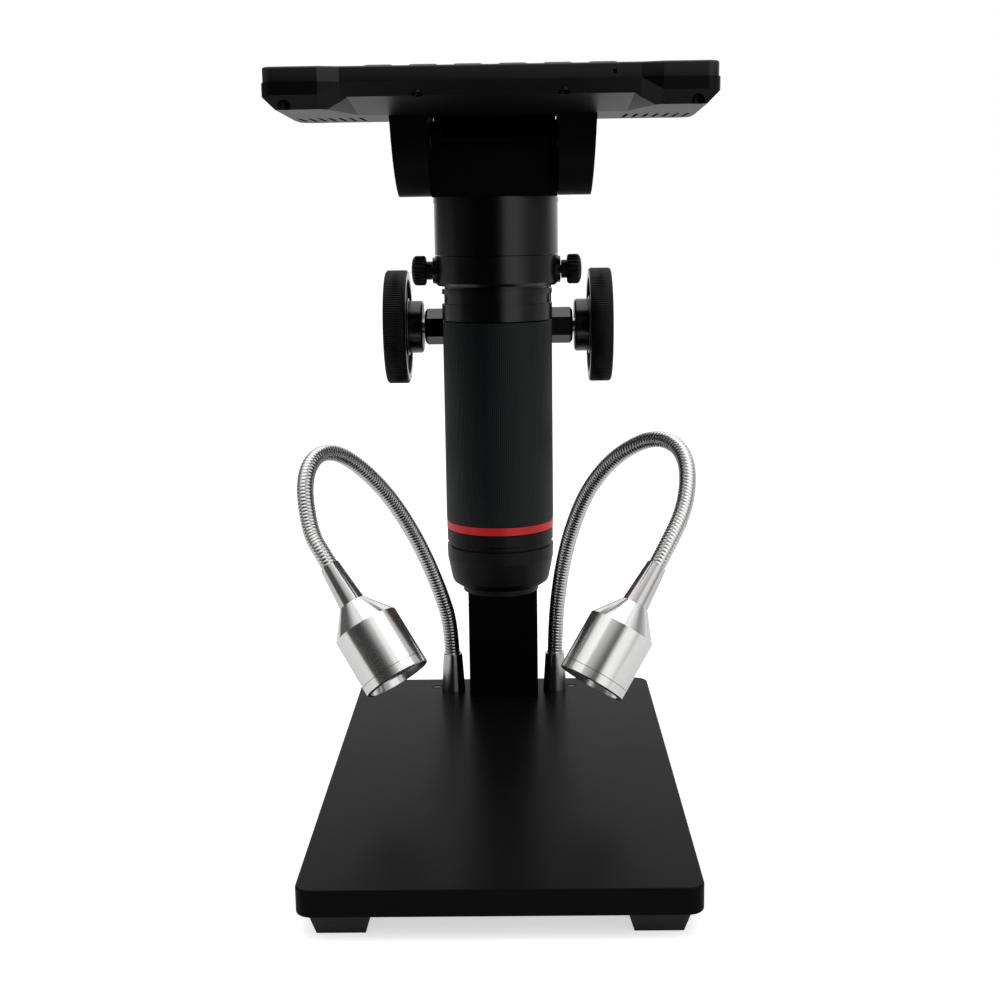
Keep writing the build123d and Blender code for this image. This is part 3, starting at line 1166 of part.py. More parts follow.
with BuildPart() as monitor_back:
    add(back_body(0, PARTING))
    add(back_body(SHELL_WALL, PARTING + CUTTER_SPARE), mode=Mode.SUBTRACT)
    block(
        (-EAR_INNER - PAD_MARGIN, HEAD_POCKET_NEAR - PAD_MARGIN, BACK_HEIGHT),
        (EAR_INNER + PAD_MARGIN, FAR_REACH - SHELL_WALL, HEAD_SWEEP_TOP + PAD_WALL),
    )
    block(
        (-EAR_INNER, HEAD_POCKET_NEAR, BACK_HEIGHT),
        (EAR_INNER, FAR_REACH, HEAD_SWEEP_TOP),
        Mode.SUBTRACT,
    )
    for x, y, post_radius, pocket_radius, ceiling in SHELL_SCREWS:
        rod((x, y, BACK_HEIGHT), UP, post_radius, PARTING - BACK_HEIGHT)
    add(monitor_slab(BACK_HEIGHT, PARTING, 0, MONITOR_CORNER_RADIUS), mode=Mode.INTERSECT)
    add(edge_cutter(0), mode=Mode.SUBTRACT)
    add(ramp_cutter(0), mode=Mode.SUBTRACT)
    for x, y, post_radius, pocket_radius, ceiling in SHELL_SCREWS:
        rod((x, y, BACK_HEIGHT), UP, pocket_radius, ceiling - BACK_HEIGHT, Mode.SUBTRACT)
        rod((x, y, BACK_HEIGHT), UP, MONITOR_SCREW_RADIUS, PARTING - BACK_HEIGHT, Mode.SUBTRACT)
    for x, y in BOARD_POST_PLACES:
        post_foot = BACK_HEIGHT + SHELL_WALL / 2
        rod((x, y, post_foot), UP, BOARD_POST_RADIUS, MAIN_BOARD_BOTTOM - post_foot)
    for side in (-1, 1):
        for number in range(VENT_COUNT):
            x = side * (VENT_INNER + VENT_PITCH * number)
            with Locations((x, VENT_NEAR + VENT_LENGTH / 2, BACK_HEIGHT + SHELL_WALL / 2)):
                Box(VENT_WIDTH, VENT_LENGTH, SHELL_WALL, mode=Mode.SUBTRACT)
    for x, width, height in SOCKET_SIZES.values():
        with Locations((x, FAR_REACH - SHELL_WALL / 2, MAIN_BOARD_BOTTOM - height / 2)):
            Box(width + FIT_ROOM, SHELL_WALL, height + FIT_ROOM, mode=Mode.SUBTRACT)
    for x, y in EAR_SCREW_PLACES:
        rod((x, y, BACK_HEIGHT), UP, EAR_SCREW_RADIUS, SHELL_WALL, Mode.SUBTRACT)
finish(monitor_back, "monitor_back", TILTED)


with BuildPart() as monitor_bezel:
    add(monitor_slab(PARTING, MONITOR_TOP, BEZEL_INSET, MONITOR_CORNER_RADIUS - BEZEL_INSET))
    fillet(monitor_bezel.faces().sort_by(Axis.Z)[-1].edges(), BEZEL_EDGE_RADIUS)
    add(
        monitor_slab(PARTING, PANEL_TOP, SHELL_WALL, MONITOR_CORNER_RADIUS - SHELL_WALL),
        mode=Mode.SUBTRACT,
    )
    with BuildSketch(Plane.XY.offset(PANEL_TOP)):
        with Locations((0, (WINDOW_NEAR + WINDOW_FAR) / 2)):
            Rectangle(2 * WINDOW_HALF_WIDTH, WINDOW_FAR - WINDOW_NEAR)
    with BuildSketch(Plane.XY.offset(MONITOR_TOP)):
        with Locations((0, (WINDOW_NEAR + WINDOW_FAR) / 2)):
            Rectangle(2 * (WINDOW_HALF_WIDTH + WINDOW_BEVEL), WINDOW_FAR - WINDOW_NEAR + 2 * WINDOW_BEVEL)
    loft(mode=Mode.SUBTRACT)
    for x, y in BUTTON_PLACES:
        with BuildSketch(Plane.XY.offset(PANEL_TOP)):
            with Locations((x, y)):
                RectangleRounded(
                    BUTTON_LENGTH + 2 * SLIDE_GAP,
                    BUTTON_DEPTH + 2 * SLIDE_GAP,
                    BUTTON_CORNER_RADIUS + SLIDE_GAP,
                )
        extrude(amount=BEZEL_FACE, mode=Mode.SUBTRACT)
    for x, y in CORNER_SCREW_PLACES:
        rod((x, y, PARTING), UP, BEZEL_POST_RADIUS, MONITOR_TOP - BEZEL_FACE / 2 - PARTING)
        rod((x, y, PARTING), UP, MONITOR_SCREW_RADIUS, SCREW_BITE, Mode.SUBTRACT)
    for x, y in CENTRE_SCREW_PLACES:
        block(
            (x - CENTRE_POST_RADIUS, -NEAR_REACH + EDGE_RECESS + SHELL_WALL / 2, PARTING),
            (x + CENTRE_POST_RADIUS, y + CENTRE_POST_RADIUS, PARTING + TAB_THICKNESS),
        )
        rod((x, y, PARTING), UP, MONITOR_SCREW_RADIUS, TAB_THICKNESS, Mode.SUBTRACT)
    with Locations((PIN_HOLE_X, -NEAR_REACH + EDGE_RECESS + SHELL_WALL / 2, PIN_HOLE_HEIGHT)):
        Box(PIN_HOLE_SIZE, 2 * SHELL_WALL, PIN_HOLE_SIZE, mode=Mode.SUBTRACT)
finish(monitor_bezel, "monitor_bezel", TILTED)

with BuildPart() as lcd_panel:
    block(
        (-PANEL_HALF_WIDTH, PANEL_NEAR, PANEL_TOP - PANEL_THICKNESS),
        (PANEL_HALF_WIDTH, PANEL_FAR, PANEL_TOP),
    )
finish(lcd_panel, "lcd_panel", TILTED)


with BuildPart() as circuit_boards:
    block(
        (BOARD_LEFT, BOARD_NEAR, MAIN_BOARD_BOTTOM),
        (BOARD_RIGHT, BOARD_FAR, MAIN_BOARD_BOTTOM + BOARD_THICKNESS),
    )
    with Locations((0, CHIP_Y, MAIN_BOARD_BOTTOM + BOARD_THICKNESS + CHIP_HEIGHT / 2)):
        Box(CHIP_SIZE, CHIP_SIZE, CHIP_HEIGHT)
    block(
        (-BUTTON_BOARD_HALF_WIDTH, BUTTON_BOARD_NEAR, BUTTON_BOARD_TOP - BUTTON_BOARD_THICKNESS),
        (BUTTON_BOARD_HALF_WIDTH, BUTTON_BOARD_FAR, BUTTON_BOARD_TOP),
    )
    for x, y in BUTTON_PLACES:
        with Locations((x, SWITCH_Y, BUTTON_BOARD_TOP + SWITCH_HEIGHT / 2)):
            Box(SWITCH_LENGTH, SWITCH_WIDTH, SWITCH_HEIGHT)
finish(circuit_boards, "circuit_boards", TILTED)

with BuildPart() as io_ports:
    for x, width, height in SOCKET_SIZES.values():
        low = (x - width / 2, FAR_REACH - SOCKET_DEPTH, MAIN_BOARD_BOTTOM - height)
        high = (x + width / 2, FAR_REACH - FIT_ROOM, MAIN_BOARD_BOTTOM)
        block(low, high)
        inside_low = (low[0] + SOCKET_WALL, low[1] + SOCKET_FLOOR, low[2] + SOCKET_WALL)
        inside_high = (high[0] - SOCKET_WALL, high[1], high[2] - SOCKET_WALL)
        block(inside_low, inside_high, Mode.SUBTRACT)
        with Locations((x, FAR_REACH - SOCKET_DEPTH / 2, MAIN_BOARD_BOTTOM - height / 2)):
            Box(width - 2 * TONGUE_INSET, SOCKET_DEPTH - 2 * SOCKET_FLOOR, TONGUE_THICKNESS)
finish(io_ports, "io_ports", TILTED)

with BuildPart() as monitor_screws:
    for x, y in CORNER_SCREW_PLACES:
        rod((x, y, POCKET_CEILING), DOWN, POCKET_RADIUS - FIT_ROOM, SCREW_HEAD_HEIGHT)
        rod((x, y, POCKET_CEILING), UP, MONITOR_SCREW_RADIUS, PARTING + SCREW_BITE - POCKET_CEILING)
    for x, y in CENTRE_SCREW_PLACES:
        length = PARTING + TAB_THICKNESS - CENTRE_POCKET_CEILING
        rod((x, y, CENTRE_POCKET_CEILING), DOWN, CENTRE_POCKET_RADIUS - FIT_ROOM, SCREW_HEAD_HEIGHT)
        rod((x, y, CENTRE_POCKET_CEILING), UP, MONITOR_SCREW_RADIUS, length)
finish(monitor_screws, "monitor_screws", TILTED)

for number, (x, y) in enumerate(BUTTON_PLACES, start=1):
    with BuildPart() as button:
        with BuildSketch(Plane.XY.offset(PANEL_TOP - SLIDE_GAP)):
            with Locations((x, y)):
                RectangleRounded(BUTTON_LENGTH, BUTTON_DEPTH, BUTTON_CORNER_RADIUS)
        extrude(amount=MONITOR_TOP + BUTTON_RISE - PANEL_TOP + SLIDE_GAP)
        fillet(button.edges().group_by(Axis.Z)[-1], BUTTON_EDGE_RADIUS)
        block(
            (x - BUTTON_LENGTH / 2 - BUTTON_FLANGE, y - BUTTON_DEPTH / 2, BUTTON_FOOT),
            (x + BUTTON_LENGTH / 2 + BUTTON_FLANGE, y + BUTTON_DEPTH / 2, PANEL_TOP - SLIDE_GAP),
        )
    finish(button, f"button_{number}", TILTED)

# ================================================================ lamps
with BuildPart() as lamp_ferrules:
    for foot in FERRULE_FEET.values():
        outline = [
            (GOOSENECK_BORE, FERRULE_SHANK_SINK - PLATE_THICKNESS),
            (FERRULE_SHANK_RADIUS, FERRULE_SHANK_SINK - PLATE_THICKNESS),
            (FERRULE_SHANK_RADIUS, 0),
            (FERRULE_FOOT_RADIUS, 0),
            (FERRULE_FOOT_RADIUS, FERRULE_RIM),
            (FERRULE_TIP_RADIUS, FERRULE_HEIGHT),
            (GOOSENECK_RADIUS + SHAFT_GAP, FERRULE_HEIGHT),
            (GOOSENECK_RADIUS + SHAFT_GAP, FERRULE_HEIGHT - FERRULE_BORE_DEPTH),
            (GOOSENECK_BORE, FERRULE_HEIGHT - FERRULE_BORE_DEPTH),
        ]
        spin(foot, UP, outline)
finish(lamp_ferrules, "lamp_ferrules")

with BuildPart() as ferrule_nuts:
    for x, y, _ in FERRULE_FEET.values():
        with BuildSketch(Plane((x, y, PLATE_BOTTOM + NUT_POCKET_DEPTH - NUT_HEIGHT))):
            RegularPolygon(NUT_ACROSS_FLATS / 2, 6, major_radius=False)
            Circle(FERRULE_SHANK_RADIUS, mode=Mode.SUBTRACT)
        extrude(amount=NUT_HEIGHT)
finish(ferrule_nuts, "ferrule_nuts")


def route_points(name):
    """Return the corners of a gooseneck's route, from its ferrule's bore to its lamp's sleeve."""
    foot = Vector(*FERRULE_FEET[name])
    start = Vector(0, 0, FERRULE_HEIGHT - FERRULE_BORE_DEPTH + SLIDE_GAP)
    mouth = MOUTH[name]
    axis = BACKWARD[name]
    tail = [mouth + axis * LAST_BEND, mouth + axis * GOOSENECK_END]
    return [foot + point for point in [start] + [Vector(*corner) for corner in ROUTE[name]] + tail]


def bend_radii(points):
    """Return the largest round bends that the runs beside each corner leave room for."""
    radii = []
    for before, corner, after in zip(points, points[1:], points[2:]):
        turn = math.radians((corner - before).get_angle(after - corner))
        run = min((corner - before).length, (after - corner).length)
        radii.append(RUN_SHARE * run / math.tan(turn / 2))
    return radii


for name in LAMP_SIDES:
    points = route_points(name)
    radii = bend_radii(points)
    with BuildPart() as gooseneck:
        with BuildLine() as path:
            FilletPolyline(*points, radius=radii)
        with BuildSketch(Plane(origin=points[0], z_dir=UP)):
            Circle(GOOSENECK_RADIUS)
            Circle(GOOSENECK_BORE, mode=Mode.SUBTRACT)
        sweep(path=path.line)
    finish(gooseneck, f"gooseneck_{name}")

    mouth = Vector(*FERRULE_FEET[name]) + MOUTH[name]
    axis = BACKWARD[name]
    with BuildPart() as lamp_bezel:
        outline = [
            (LAMP_BORE, 0),
            (LAMP_RADIUS - LAMP_EDGE, 0),
            (LAMP_RADIUS, LAMP_EDGE),
            (LAMP_RADIUS, BEZEL_LENGTH),
            (LAMP_BORE, BEZEL_LENGTH),
            (LAMP_BORE, BEZEL_LENGTH + BEZEL_SPIGOT),
            (LENS_BED_RADIUS, BEZEL_LENGTH + BEZEL_SPIGOT),
            (LENS_BED_RADIUS, LENS_SEAT),
        ]
        spin(mouth, axis, outline)
    finish(lamp_bezel, f"lamp_bezel_{name}")

    with BuildPart() as lamp_lens:
        rod(mouth + axis * LENS_SEAT, axis, LENS_BED_RADIUS, LENS_THICKNESS)
    finish(lamp_lens, f"lamp_lens_{name}")

    with BuildPart() as lamp_led:
        outline = [
            (LENS_BED_RADIUS, LENS_SEAT + LENS_THICKNESS),
            (LENS_BED_RADIUS - LAMP_EDGE, LENS_SEAT + LENS_THICKNESS),
            (REFLECTOR_THROAT, LED_STATION),
            (0, LED_STATION),
            (0, LED_STATION + BOARD_THICKNESS),
            (LAMP_BORE, LED_STATION + BOARD_THICKNESS),
            (LAMP_BORE, LED_STATION - LED_RIM),
            (REFLECTOR_THROAT + BOARD_THICKNESS, LED_STATION - LED_RIM),
        ]
        spin(mouth, axis, outline)
    finish(lamp_led, f"lamp_led_{name}")

    with BuildPart() as lamp_shell:
        outline = [
            (LAMP_BORE, BEZEL_LENGTH),
            (LAMP_RADIUS, BEZEL_LENGTH),
            (LAMP_RADIUS, LAMP_CYLINDER_END),
            (LAMP_CONE_RADIUS, LAMP_CONE_END),
            (SLEEVE_SPIGOT_RADIUS, LAMP_CONE_END),
            (SLEEVE_SPIGOT_RADIUS, SLEEVE_SPIGOT_START),
            (LAMP_LEDGE_RADIUS, LAMP_CYLINDER_END),
            (LAMP_LEDGE_RADIUS, LED_STATION + BOARD_THICKNESS),
            (LAMP_BORE, LED_STATION + BOARD_THICKNESS),
        ]
        spin(mouth, axis, outline)
    finish(lamp_shell, f"lamp_shell_{name}")

    with BuildPart() as lamp_sleeve:
        bore = GOOSENECK_RADIUS + SHAFT_GAP
        outline = [
            (GOOSENECK_BORE, SLEEVE_SPIGOT_START),
            (SLEEVE_SPIGOT_RADIUS, SLEEVE_SPIGOT_START),
            (SLEEVE_SPIGOT_RADIUS, LAMP_CONE_END),
            (SLEEVE_RADIUS, LAMP_CONE_END),
            (SLEEVE_TIP_RADIUS, SLEEVE_END),
            (bore, SLEEVE_END),
            (bore, GOOSENECK_END - SLIDE_GAP),
            (GOOSENECK_BORE, GOOSENECK_END - SLIDE_GAP),
        ]
        spin(mouth, axis, outline)
    finish(lamp_sleeve, f"lamp_sleeve_{name}")
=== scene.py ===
"""Fine pieces, finishes and stage for a stand microscope with a tilting screen and two lamps.

Laid out as a Blender add-on and run as a script. All sizes are metres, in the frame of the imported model.
"""

import math

import bmesh
import bpy
import numpy as np
from bpy.props import FloatProperty, FloatVectorProperty, IntProperty, PointerProperty
from mathutils import Matrix, Vector


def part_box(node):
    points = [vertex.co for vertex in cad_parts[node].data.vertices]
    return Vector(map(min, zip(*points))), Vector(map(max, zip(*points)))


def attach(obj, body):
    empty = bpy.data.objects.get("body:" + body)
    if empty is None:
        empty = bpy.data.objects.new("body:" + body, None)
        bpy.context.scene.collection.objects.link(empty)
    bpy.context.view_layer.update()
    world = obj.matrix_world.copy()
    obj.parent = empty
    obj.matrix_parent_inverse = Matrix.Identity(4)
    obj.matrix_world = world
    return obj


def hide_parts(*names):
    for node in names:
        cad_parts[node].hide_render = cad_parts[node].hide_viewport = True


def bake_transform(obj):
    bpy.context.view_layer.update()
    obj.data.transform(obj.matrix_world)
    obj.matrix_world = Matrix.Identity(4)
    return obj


bl_info = {
    "name": "Stand microscope",
    "version": (1, 0, 0),
    "blender": (4, 5, 0),
    "location": "3D View > Sidebar > Microscope",
    "description": "Builds the fine pieces, finishes and stage of a stand microscope round its packed frame",
    "category": "Object",
}

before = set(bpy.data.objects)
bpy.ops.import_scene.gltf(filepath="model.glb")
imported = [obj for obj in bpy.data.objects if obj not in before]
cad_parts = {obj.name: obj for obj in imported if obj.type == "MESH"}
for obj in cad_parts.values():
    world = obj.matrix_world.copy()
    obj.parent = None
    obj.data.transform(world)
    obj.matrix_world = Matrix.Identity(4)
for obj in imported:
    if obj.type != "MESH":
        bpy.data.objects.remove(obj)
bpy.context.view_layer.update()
MM = 0.001
UP = (0.0, 0.0, 1.0)
DOWN = (0.0, 0.0, -1.0)
ALONG_SHAFT = (1.0, 0.0, 0.0)
SIDES = {"left": -1, "right": 1}

# ---------------------------------------------------------------- shapes of the turned pieces
BEVEL = 0.2 * MM
KNOB_RIM = 3.6 * MM             # width of the raised rim on both faces of a knob
KNOB_DISH = 1.2 * MM
KNOB_BOSS_RADIUS = 11.0 * MM
KNOB_EDGE = 0.7 * MM
KNOB_ROUNDING = 0.3 * MM
GRIP_BORE_RADIUS = 16.7 * MM
GRIP_EDGE = 0.35 * MM
GRIP_ROUNDING = 0.1 * MM
GRIP_RUNOUT = 1.0 * MM          # where the grip's ridges fade at either end
CLAMP_SHANK_RADIUS = 1.5 * MM
CLAMP_NECK_RADIUS = 3.2 * MM
CLAMP_NECK_LENGTH = 2.1 * MM
CLAMP_HEAD_LENGTH = 5.15 * MM
PLUG_RIM = 0.2 * MM
PLUG_GROOVE = 0.35 * MM         # width and depth of the groove in a blind plug
KNOB_FACETS = 4                 # facets to a ridge
FINE_FACETS = 6                 # the same for the grip and the thumbscrews
ROUND_FACETS = 48               # facets round a screw or a plug
SCREEN_BORDER = (4.4 * MM, 4.6 * MM)
SCREEN_BLUR = 0.1 * MM          # how softly the active area ends

# ---------------------------------------------------------------- where the lamps are
# The goosenecks' routes: corners 0 to 8 from each ferrule's bore, then 9 and 10 on the lamp's own axis
# at given lengths behind its mouth. ROUTE_MM and MOUTH_MM count from the ferrule's foot. The second
# piece of each gooseneck runs from corner 8 to corner 10.
FERRULE_FOOT = {"left": (-21.0 * MM, 85.0 * MM, 16.0 * MM), "right": (21.0 * MM, 85.0 * MM, 16.0 * MM)}
ROUTE_MM = {
    "left": [
        (0, 0, 4.3), (0, 0, 26), (-4.6, -4.2, 44.3), (-13.0, -10.8, 67.2), (-24.1, -21.0, 88.6),
        (-37.2, -33.5, 104.3), (-45.9, -46.8, 108.1), (-50.4, -58.3, 99.8), (-47.2, -68.0, 81.8),
    ],
    "right": [
        (0, 0, 4.3), (0, 0, 26), (2.6, -3.5, 50.2), (6.8, -9.7, 70.1), (13.5, -18.9, 88.7),
        (24.3, -30.5, 103.7), (38.2, -41.8, 111.9), (47.6, -53.9, 106.7), (46.1, -67.2, 90.2),
    ],
}
MOUTH_MM = {"left": (-14.7, -93.7, 34.6), "right": (10.02, -96.88, 33.52)}
BACKWARD = {"left": (-0.5185, 0.3521, 0.7792), "right": (0.5063, 0.3255, 0.7986)}
BEZEL_SEAM = 3.5 * MM
LAST_BEND = 52.0 * MM
GOOSENECK_END = 41.0 * MM
SAMPLES_PER_TURN = 8
AROUND_WINDING = 28


def lamp_axis(side):
    """The mouth's middle in metres and the unit direction back along a lamp's axis."""
    backward = np.array(BACKWARD[side]) / np.linalg.norm(BACKWARD[side])
    return np.array(MOUTH_MM[side]) * MM + np.array(FERRULE_FOOT[side]), backward


def route_corners(side):
    """The route's corners in metres; the last two lie on the lamp's axis."""
    mouth, backward = lamp_axis(side)
    ends = [mouth + backward * length for length in (LAST_BEND, GOOSENECK_END)]
    return np.array([*(np.array(ROUTE_MM[side]) * MM + np.array(FERRULE_FOOT[side])), *ends])


def centre_of(node):
    """Return the middle of a node's box at rest as an array."""
    low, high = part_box(node)
    return (np.array(low, float) + np.array(high, float)) / 2


def extent_of(node):
    """Return the size of a node's box at rest as an array."""
    low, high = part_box(node)
    return np.array(high, float) - np.array(low, float)


def tube_foot():
    """The point on the bench under the tube's axis."""
    middle = centre_of("neck")
    return (float(middle[0]), float(middle[1]), 0.0)


# ---------------------------------------------------------------- sizes and colours a user may change
def metres(name, description, default):
    """A length in metres for the panel."""
    return FloatProperty(
        name=name, description=description, default=default, subtype="DISTANCE", unit="LENGTH"
    )


def colour_of(name, description, default):
    """A colour for the panel."""
    return FloatVectorProperty(name=name, description=description, default=default, subtype="COLOR")


class KnurlSizes(bpy.types.PropertyGroup):
    """Knurled and ribbed pieces."""

    knob_ridges: IntProperty(name="Knob ridges", description="Ridges round a focus knob", default=150, min=24)
    knob_depth: metres("Knob ridge depth", "Height of a focus knob's ridges", 0.22 * MM)
    grip_ridges: IntProperty(
        name="Grip ridges", description="Ridges round the focusing grip", default=180, min=24
    )
    grip_depth: metres("Grip ridge depth", "Height of the focusing grip's ridges", 0.1 * MM)
    screw_ridges: IntProperty(
        name="Thumbscrew ridges", description="Ridges round a thumbscrew", default=26, min=12
    )
    screw_depth: metres("Thumbscrew ridge depth", "Height of a thumbscrew's ridges", 0.4 * MM)


class GooseneckSizes(bpy.types.PropertyGroup):
    """The wound steel tubes that carry the lamps."""

    radius: metres("Radius", "Outer radius of the winding", 3.1 * MM)
    pitch: metres("Pitch", "Distance from one turn of the winding to the next", 1.3 * MM)
    groove: metres("Groove depth", "Depth of the groove between two turns", 0.24 * MM)


class FinishColours(bpy.types.PropertyGroup):
    """Base colours of the finishes."""

    paint: colour_of("Stage paint", "Satin paint of the stage", (0.0038, 0.0038, 0.0046))
    anodised: colour_of("Anodising", "Anodised tube and carriage", (0.001, 0.0012, 0.0011))
    moulding: colour_of("Moulding", "Moulded shells and ears", (0.0014, 0.0014, 0.0017))
    grip: colour_of("Grip", "Focusing grip", (0.0018, 0.0052, 0.005))
    ring: colour_of("Accent ring", "Ring under the grip", (0.62, 0.011, 0.016))


def scene_sizes(context):
    """Return the sizes and colours that belong to the scene."""
    return context.scene.microscope_sizes


class MicroscopeSizes(bpy.types.PropertyGroup):
    """Everything that the panel shows."""

    knurls: PointerProperty(type=KnurlSizes)
    gooseneck: PointerProperty(type=GooseneckSizes)
    colours: PointerProperty(type=FinishColours)


# ---------------------------------------------------------------- meshes from surfaces of two parameters
def quads(rows, columns, wrap_rows, wrap_columns):
    """Quads of a grid whose vertex (i, j) is number i * columns + j, wrapped round either way."""
    i, j = np.meshgrid(
        np.arange(rows if wrap_rows else rows - 1),
        np.arange(columns if wrap_columns else columns - 1),
        indexing="ij",
    )
    i_next, j_next = (i + 1) % rows, (j + 1) % columns
    corners = [i * columns + j, i * columns + j_next, i_next * columns + j_next, i_next * columns + j]
    return np.stack(corners, axis=-1).reshape(-1, 4)


def across(axis):
    """Two unit vectors square to an axis and to each other."""
    axis = np.array(axis, float) / np.linalg.norm(axis)
    helper = UP if abs(axis[2]) < 0.9 else ALONG_SHAFT
    side = np.cross(helper, axis)
    side /= np.linalg.norm(side)
    return axis, side, np.cross(axis, side)


def lathe(profile, origin, axis, around, shape=None, wrap_profile=False):
    """A turned surface. Point (k, a) is origin + station_k * axis + radius(k, a) * (cos a, sin a) in the
    plane square to the axis; shape(radius, angle, row) may change the radius with the angle."""
    axis, side, other = across(axis)
    profile = np.array(profile, float)
    angle = np.linspace(0, 2 * math.pi, around, endpoint=False)
    radius = np.repeat(profile[:, :1], around, axis=1)
    if shape is not None:
        radius = shape(radius, angle[None, :], np.arange(len(profile))[:, None])
    ring = radius[..., None] * (np.cos(angle)[None, :, None] * side + np.sin(angle)[None, :, None] * other)
    points = np.array(origin, float) + profile[:, 1, None, None] * axis + ring
    return points.reshape(-1, 3), quads(len(profile), around, wrap_profile, True)


def joined(parts):
    """One list of points and one of quads from several surfaces."""
    points, faces, start = [], [], 0
    for part_points, part_faces in parts:
        points.append(part_points)
        faces.append(part_faces + start)
        start += len(part_points)
    return np.concatenate(points), np.concatenate(faces)


def make_piece(name, surface, finish, body, nodes, sharp=38):
    """Put a surface into a mesh, close its seams and poles, turn its faces outwards and let it ride."""
    points, faces = surface
    mesh = bpy.data.meshes.new(name)
    mesh.from_pydata(points, [], faces.tolist())
    work = bmesh.new()
    work.from_mesh(mesh)
    bmesh.ops.remove_doubles(work, verts=work.verts, dist=1e-6)
    bmesh.ops.dissolve_degenerate(work, edges=work.edges, dist=1e-7)
    bmesh.ops.recalc_face_normals(work, faces=work.faces)
    work.to_mesh(mesh)
    work.free()
    mesh.shade_smooth()
    mesh.set_sharp_from_angle(angle=math.radians(sharp))
    piece = bpy.data.objects.new(name, mesh)
    bpy.context.scene.collection.objects.link(piece)
    piece.data.materials.append(finish)
    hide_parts(*nodes)
    if body:
        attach(piece, body)
    return piece


# ---------------------------------------------------------------- shader maths
class Wire:
    """One output socket of a shader node. Arithmetic on wires adds Math nodes to the same material."""

    def __init__(self, finish, socket):
        self.finish = finish
        self.socket = socket

    def maths(self, operation, *values):
        return self.finish.node("ShaderNodeMath", {"operation": operation}, dict(enumerate(values)))

    def __add__(self, other):
        return self.maths("ADD", self, other)

    def __radd__(self, other):
        return self.maths("ADD", other, self)

    def __sub__(self, other):
        return self.maths("SUBTRACT", self, other)

    def __rsub__(self, other):
        return self.maths("SUBTRACT", other, self)

    def __mul__(self, other):
        return self.maths("MULTIPLY", self, other)

    def __rmul__(self, other):
        return self.maths("MULTIPLY", other, self)

    def __truediv__(self, other):
        return self.maths("DIVIDE", self, other)

    def __rtruediv__(self, other):
        return self.maths("DIVIDE", other, self)

    def __neg__(self):
        return self.maths("MULTIPLY", self, -1.0)

    def __abs__(self):
        return self.maths("ABSOLUTE", self)


class Finish:
    """A procedural material while it is being made: one Principled shader and the nodes that feed it."""

    def __init__(self, name, **constants):
        self.material = bpy.data.materials.new(name)
        self.material.use_nodes = True
        self.tree = self.material.node_tree
        self.tree.nodes.clear()
        self.shader = self.tree.nodes.new("ShaderNodeBsdfPrincipled")
        output = self.tree.nodes.new("ShaderNodeOutputMaterial")
        self.tree.links.new(self.shader.outputs[0], output.inputs["Surface"])
        for socket, value in constants.items():
            self.shader.inputs[socket.replace("_", " ")].default_value = value

    def node(self, kind, settings=None, sockets=None, output=0):
        """Add a node: its settings first, then the values or links of its sockets, and return an output."""
        node = self.tree.nodes.new(kind)
        for name, value in (settings or {}).items():
            if name == "stops":
                self._set_stops(node.color_ramp, value)
            else:
                setattr(node, name, value)
        for name, value in (sockets or {}).items():
            if isinstance(value, Wire):
                self.tree.links.new(value.socket, node.inputs[name])
            else:
                node.inputs[name].default_value = value
        return Wire(self, node.outputs[output])

    @staticmethod
    def _set_stops(ramp, stops):
        """Give a colour ramp its stops, each a place and a grey level or a colour."""
        while len(ramp.elements) < len(stops):
            ramp.elements.new(0.5)
        for element, (place, value) in zip(ramp.elements, stops):
            element.position = place
            element.color = (value,) * 3 + (1.0,) if isinstance(value, float) else (*value, 1.0)

    def feed(self, socket, value):
        """Link a wire to one of the shader's sockets."""
        self.tree.links.new(value.socket, self.shader.inputs[socket])

    def place(self):
        """The piece's own coordinates, in metres."""
        return self.node("ShaderNodeTexCoord", output="Object")

    def turned_place(self, origin, axis):
        """The piece's own coordinates, moved and turned so that an axis through an origin becomes Z."""
        turn = Vector(axis).rotation_difference(Vector(UP))
        moved = turn @ (-Vector(origin))
        sockets = {"Vector": self.place(), "Location": moved, "Rotation": turn.to_euler()}
        return self.node("ShaderNodeMapping", None, sockets)

    def parts(self, vector):
        """The three numbers of a vector."""
        split = self.node("ShaderNodeSeparateXYZ", None, {0: vector}).socket.node
        return [Wire(self, socket) for socket in split.outputs]

    def noise(self, vector, scale, detail=3.0, roughness=0.5):
        """Fractal noise between 0 and 1, with a scale in features per metre."""
        sockets = {"Vector": vector, "Scale": scale, "Detail": detail, "Roughness": roughness}
        return self.node("ShaderNodeTexNoise", None, sockets)

    def line_noise(self, number, scale, detail=2.0):
        """Noise along one direction only, for turned or drawn lines."""
        sockets = {"W": number, "Scale": scale, "Detail": detail, "Roughness": 0.6}
        return self.node("ShaderNodeTexNoise", {"noise_dimensions": "1D"}, sockets)

    def ramp(self, wire, *stops):
        """A colour ramp over a wire."""
        return self.node("ShaderNodeValToRGB", {"stops": stops}, {0: wire})

    def step(self, wire, low, high):
        """0 below low, 1 above high and smooth between them."""
        sockets = {"Value": wire, "From Min": low, "From Max": high}
        return self.node("ShaderNodeMapRange", {"interpolation_type": "SMOOTHSTEP"}, sockets)

    def blend_colours(self, factor, first, second):
        """Mix two colours by a wire."""
        sockets = {0: factor, 6: self._full(first), 7: self._full(second)}
        return self.node("ShaderNodeMix", {"data_type": "RGBA"}, sockets, 2)

    @staticmethod
    def _full(colour):
        """A colour with its alpha, or the wire that it already is."""
        return colour if isinstance(colour, Wire) else (*tuple(colour)[:3], 1.0)

    def bump(self, height, distance):
        """Feed a height to the shader's normal, distance in metres."""
        sockets = {"Height": height, "Distance": distance, "Strength": 1.0}
        self.feed("Normal", self.node("ShaderNodeBump", None, sockets))


def shade(colour, factor):
    """A colour made darker or lighter."""
    return tuple(channel * factor for channel in tuple(colour)[:3])


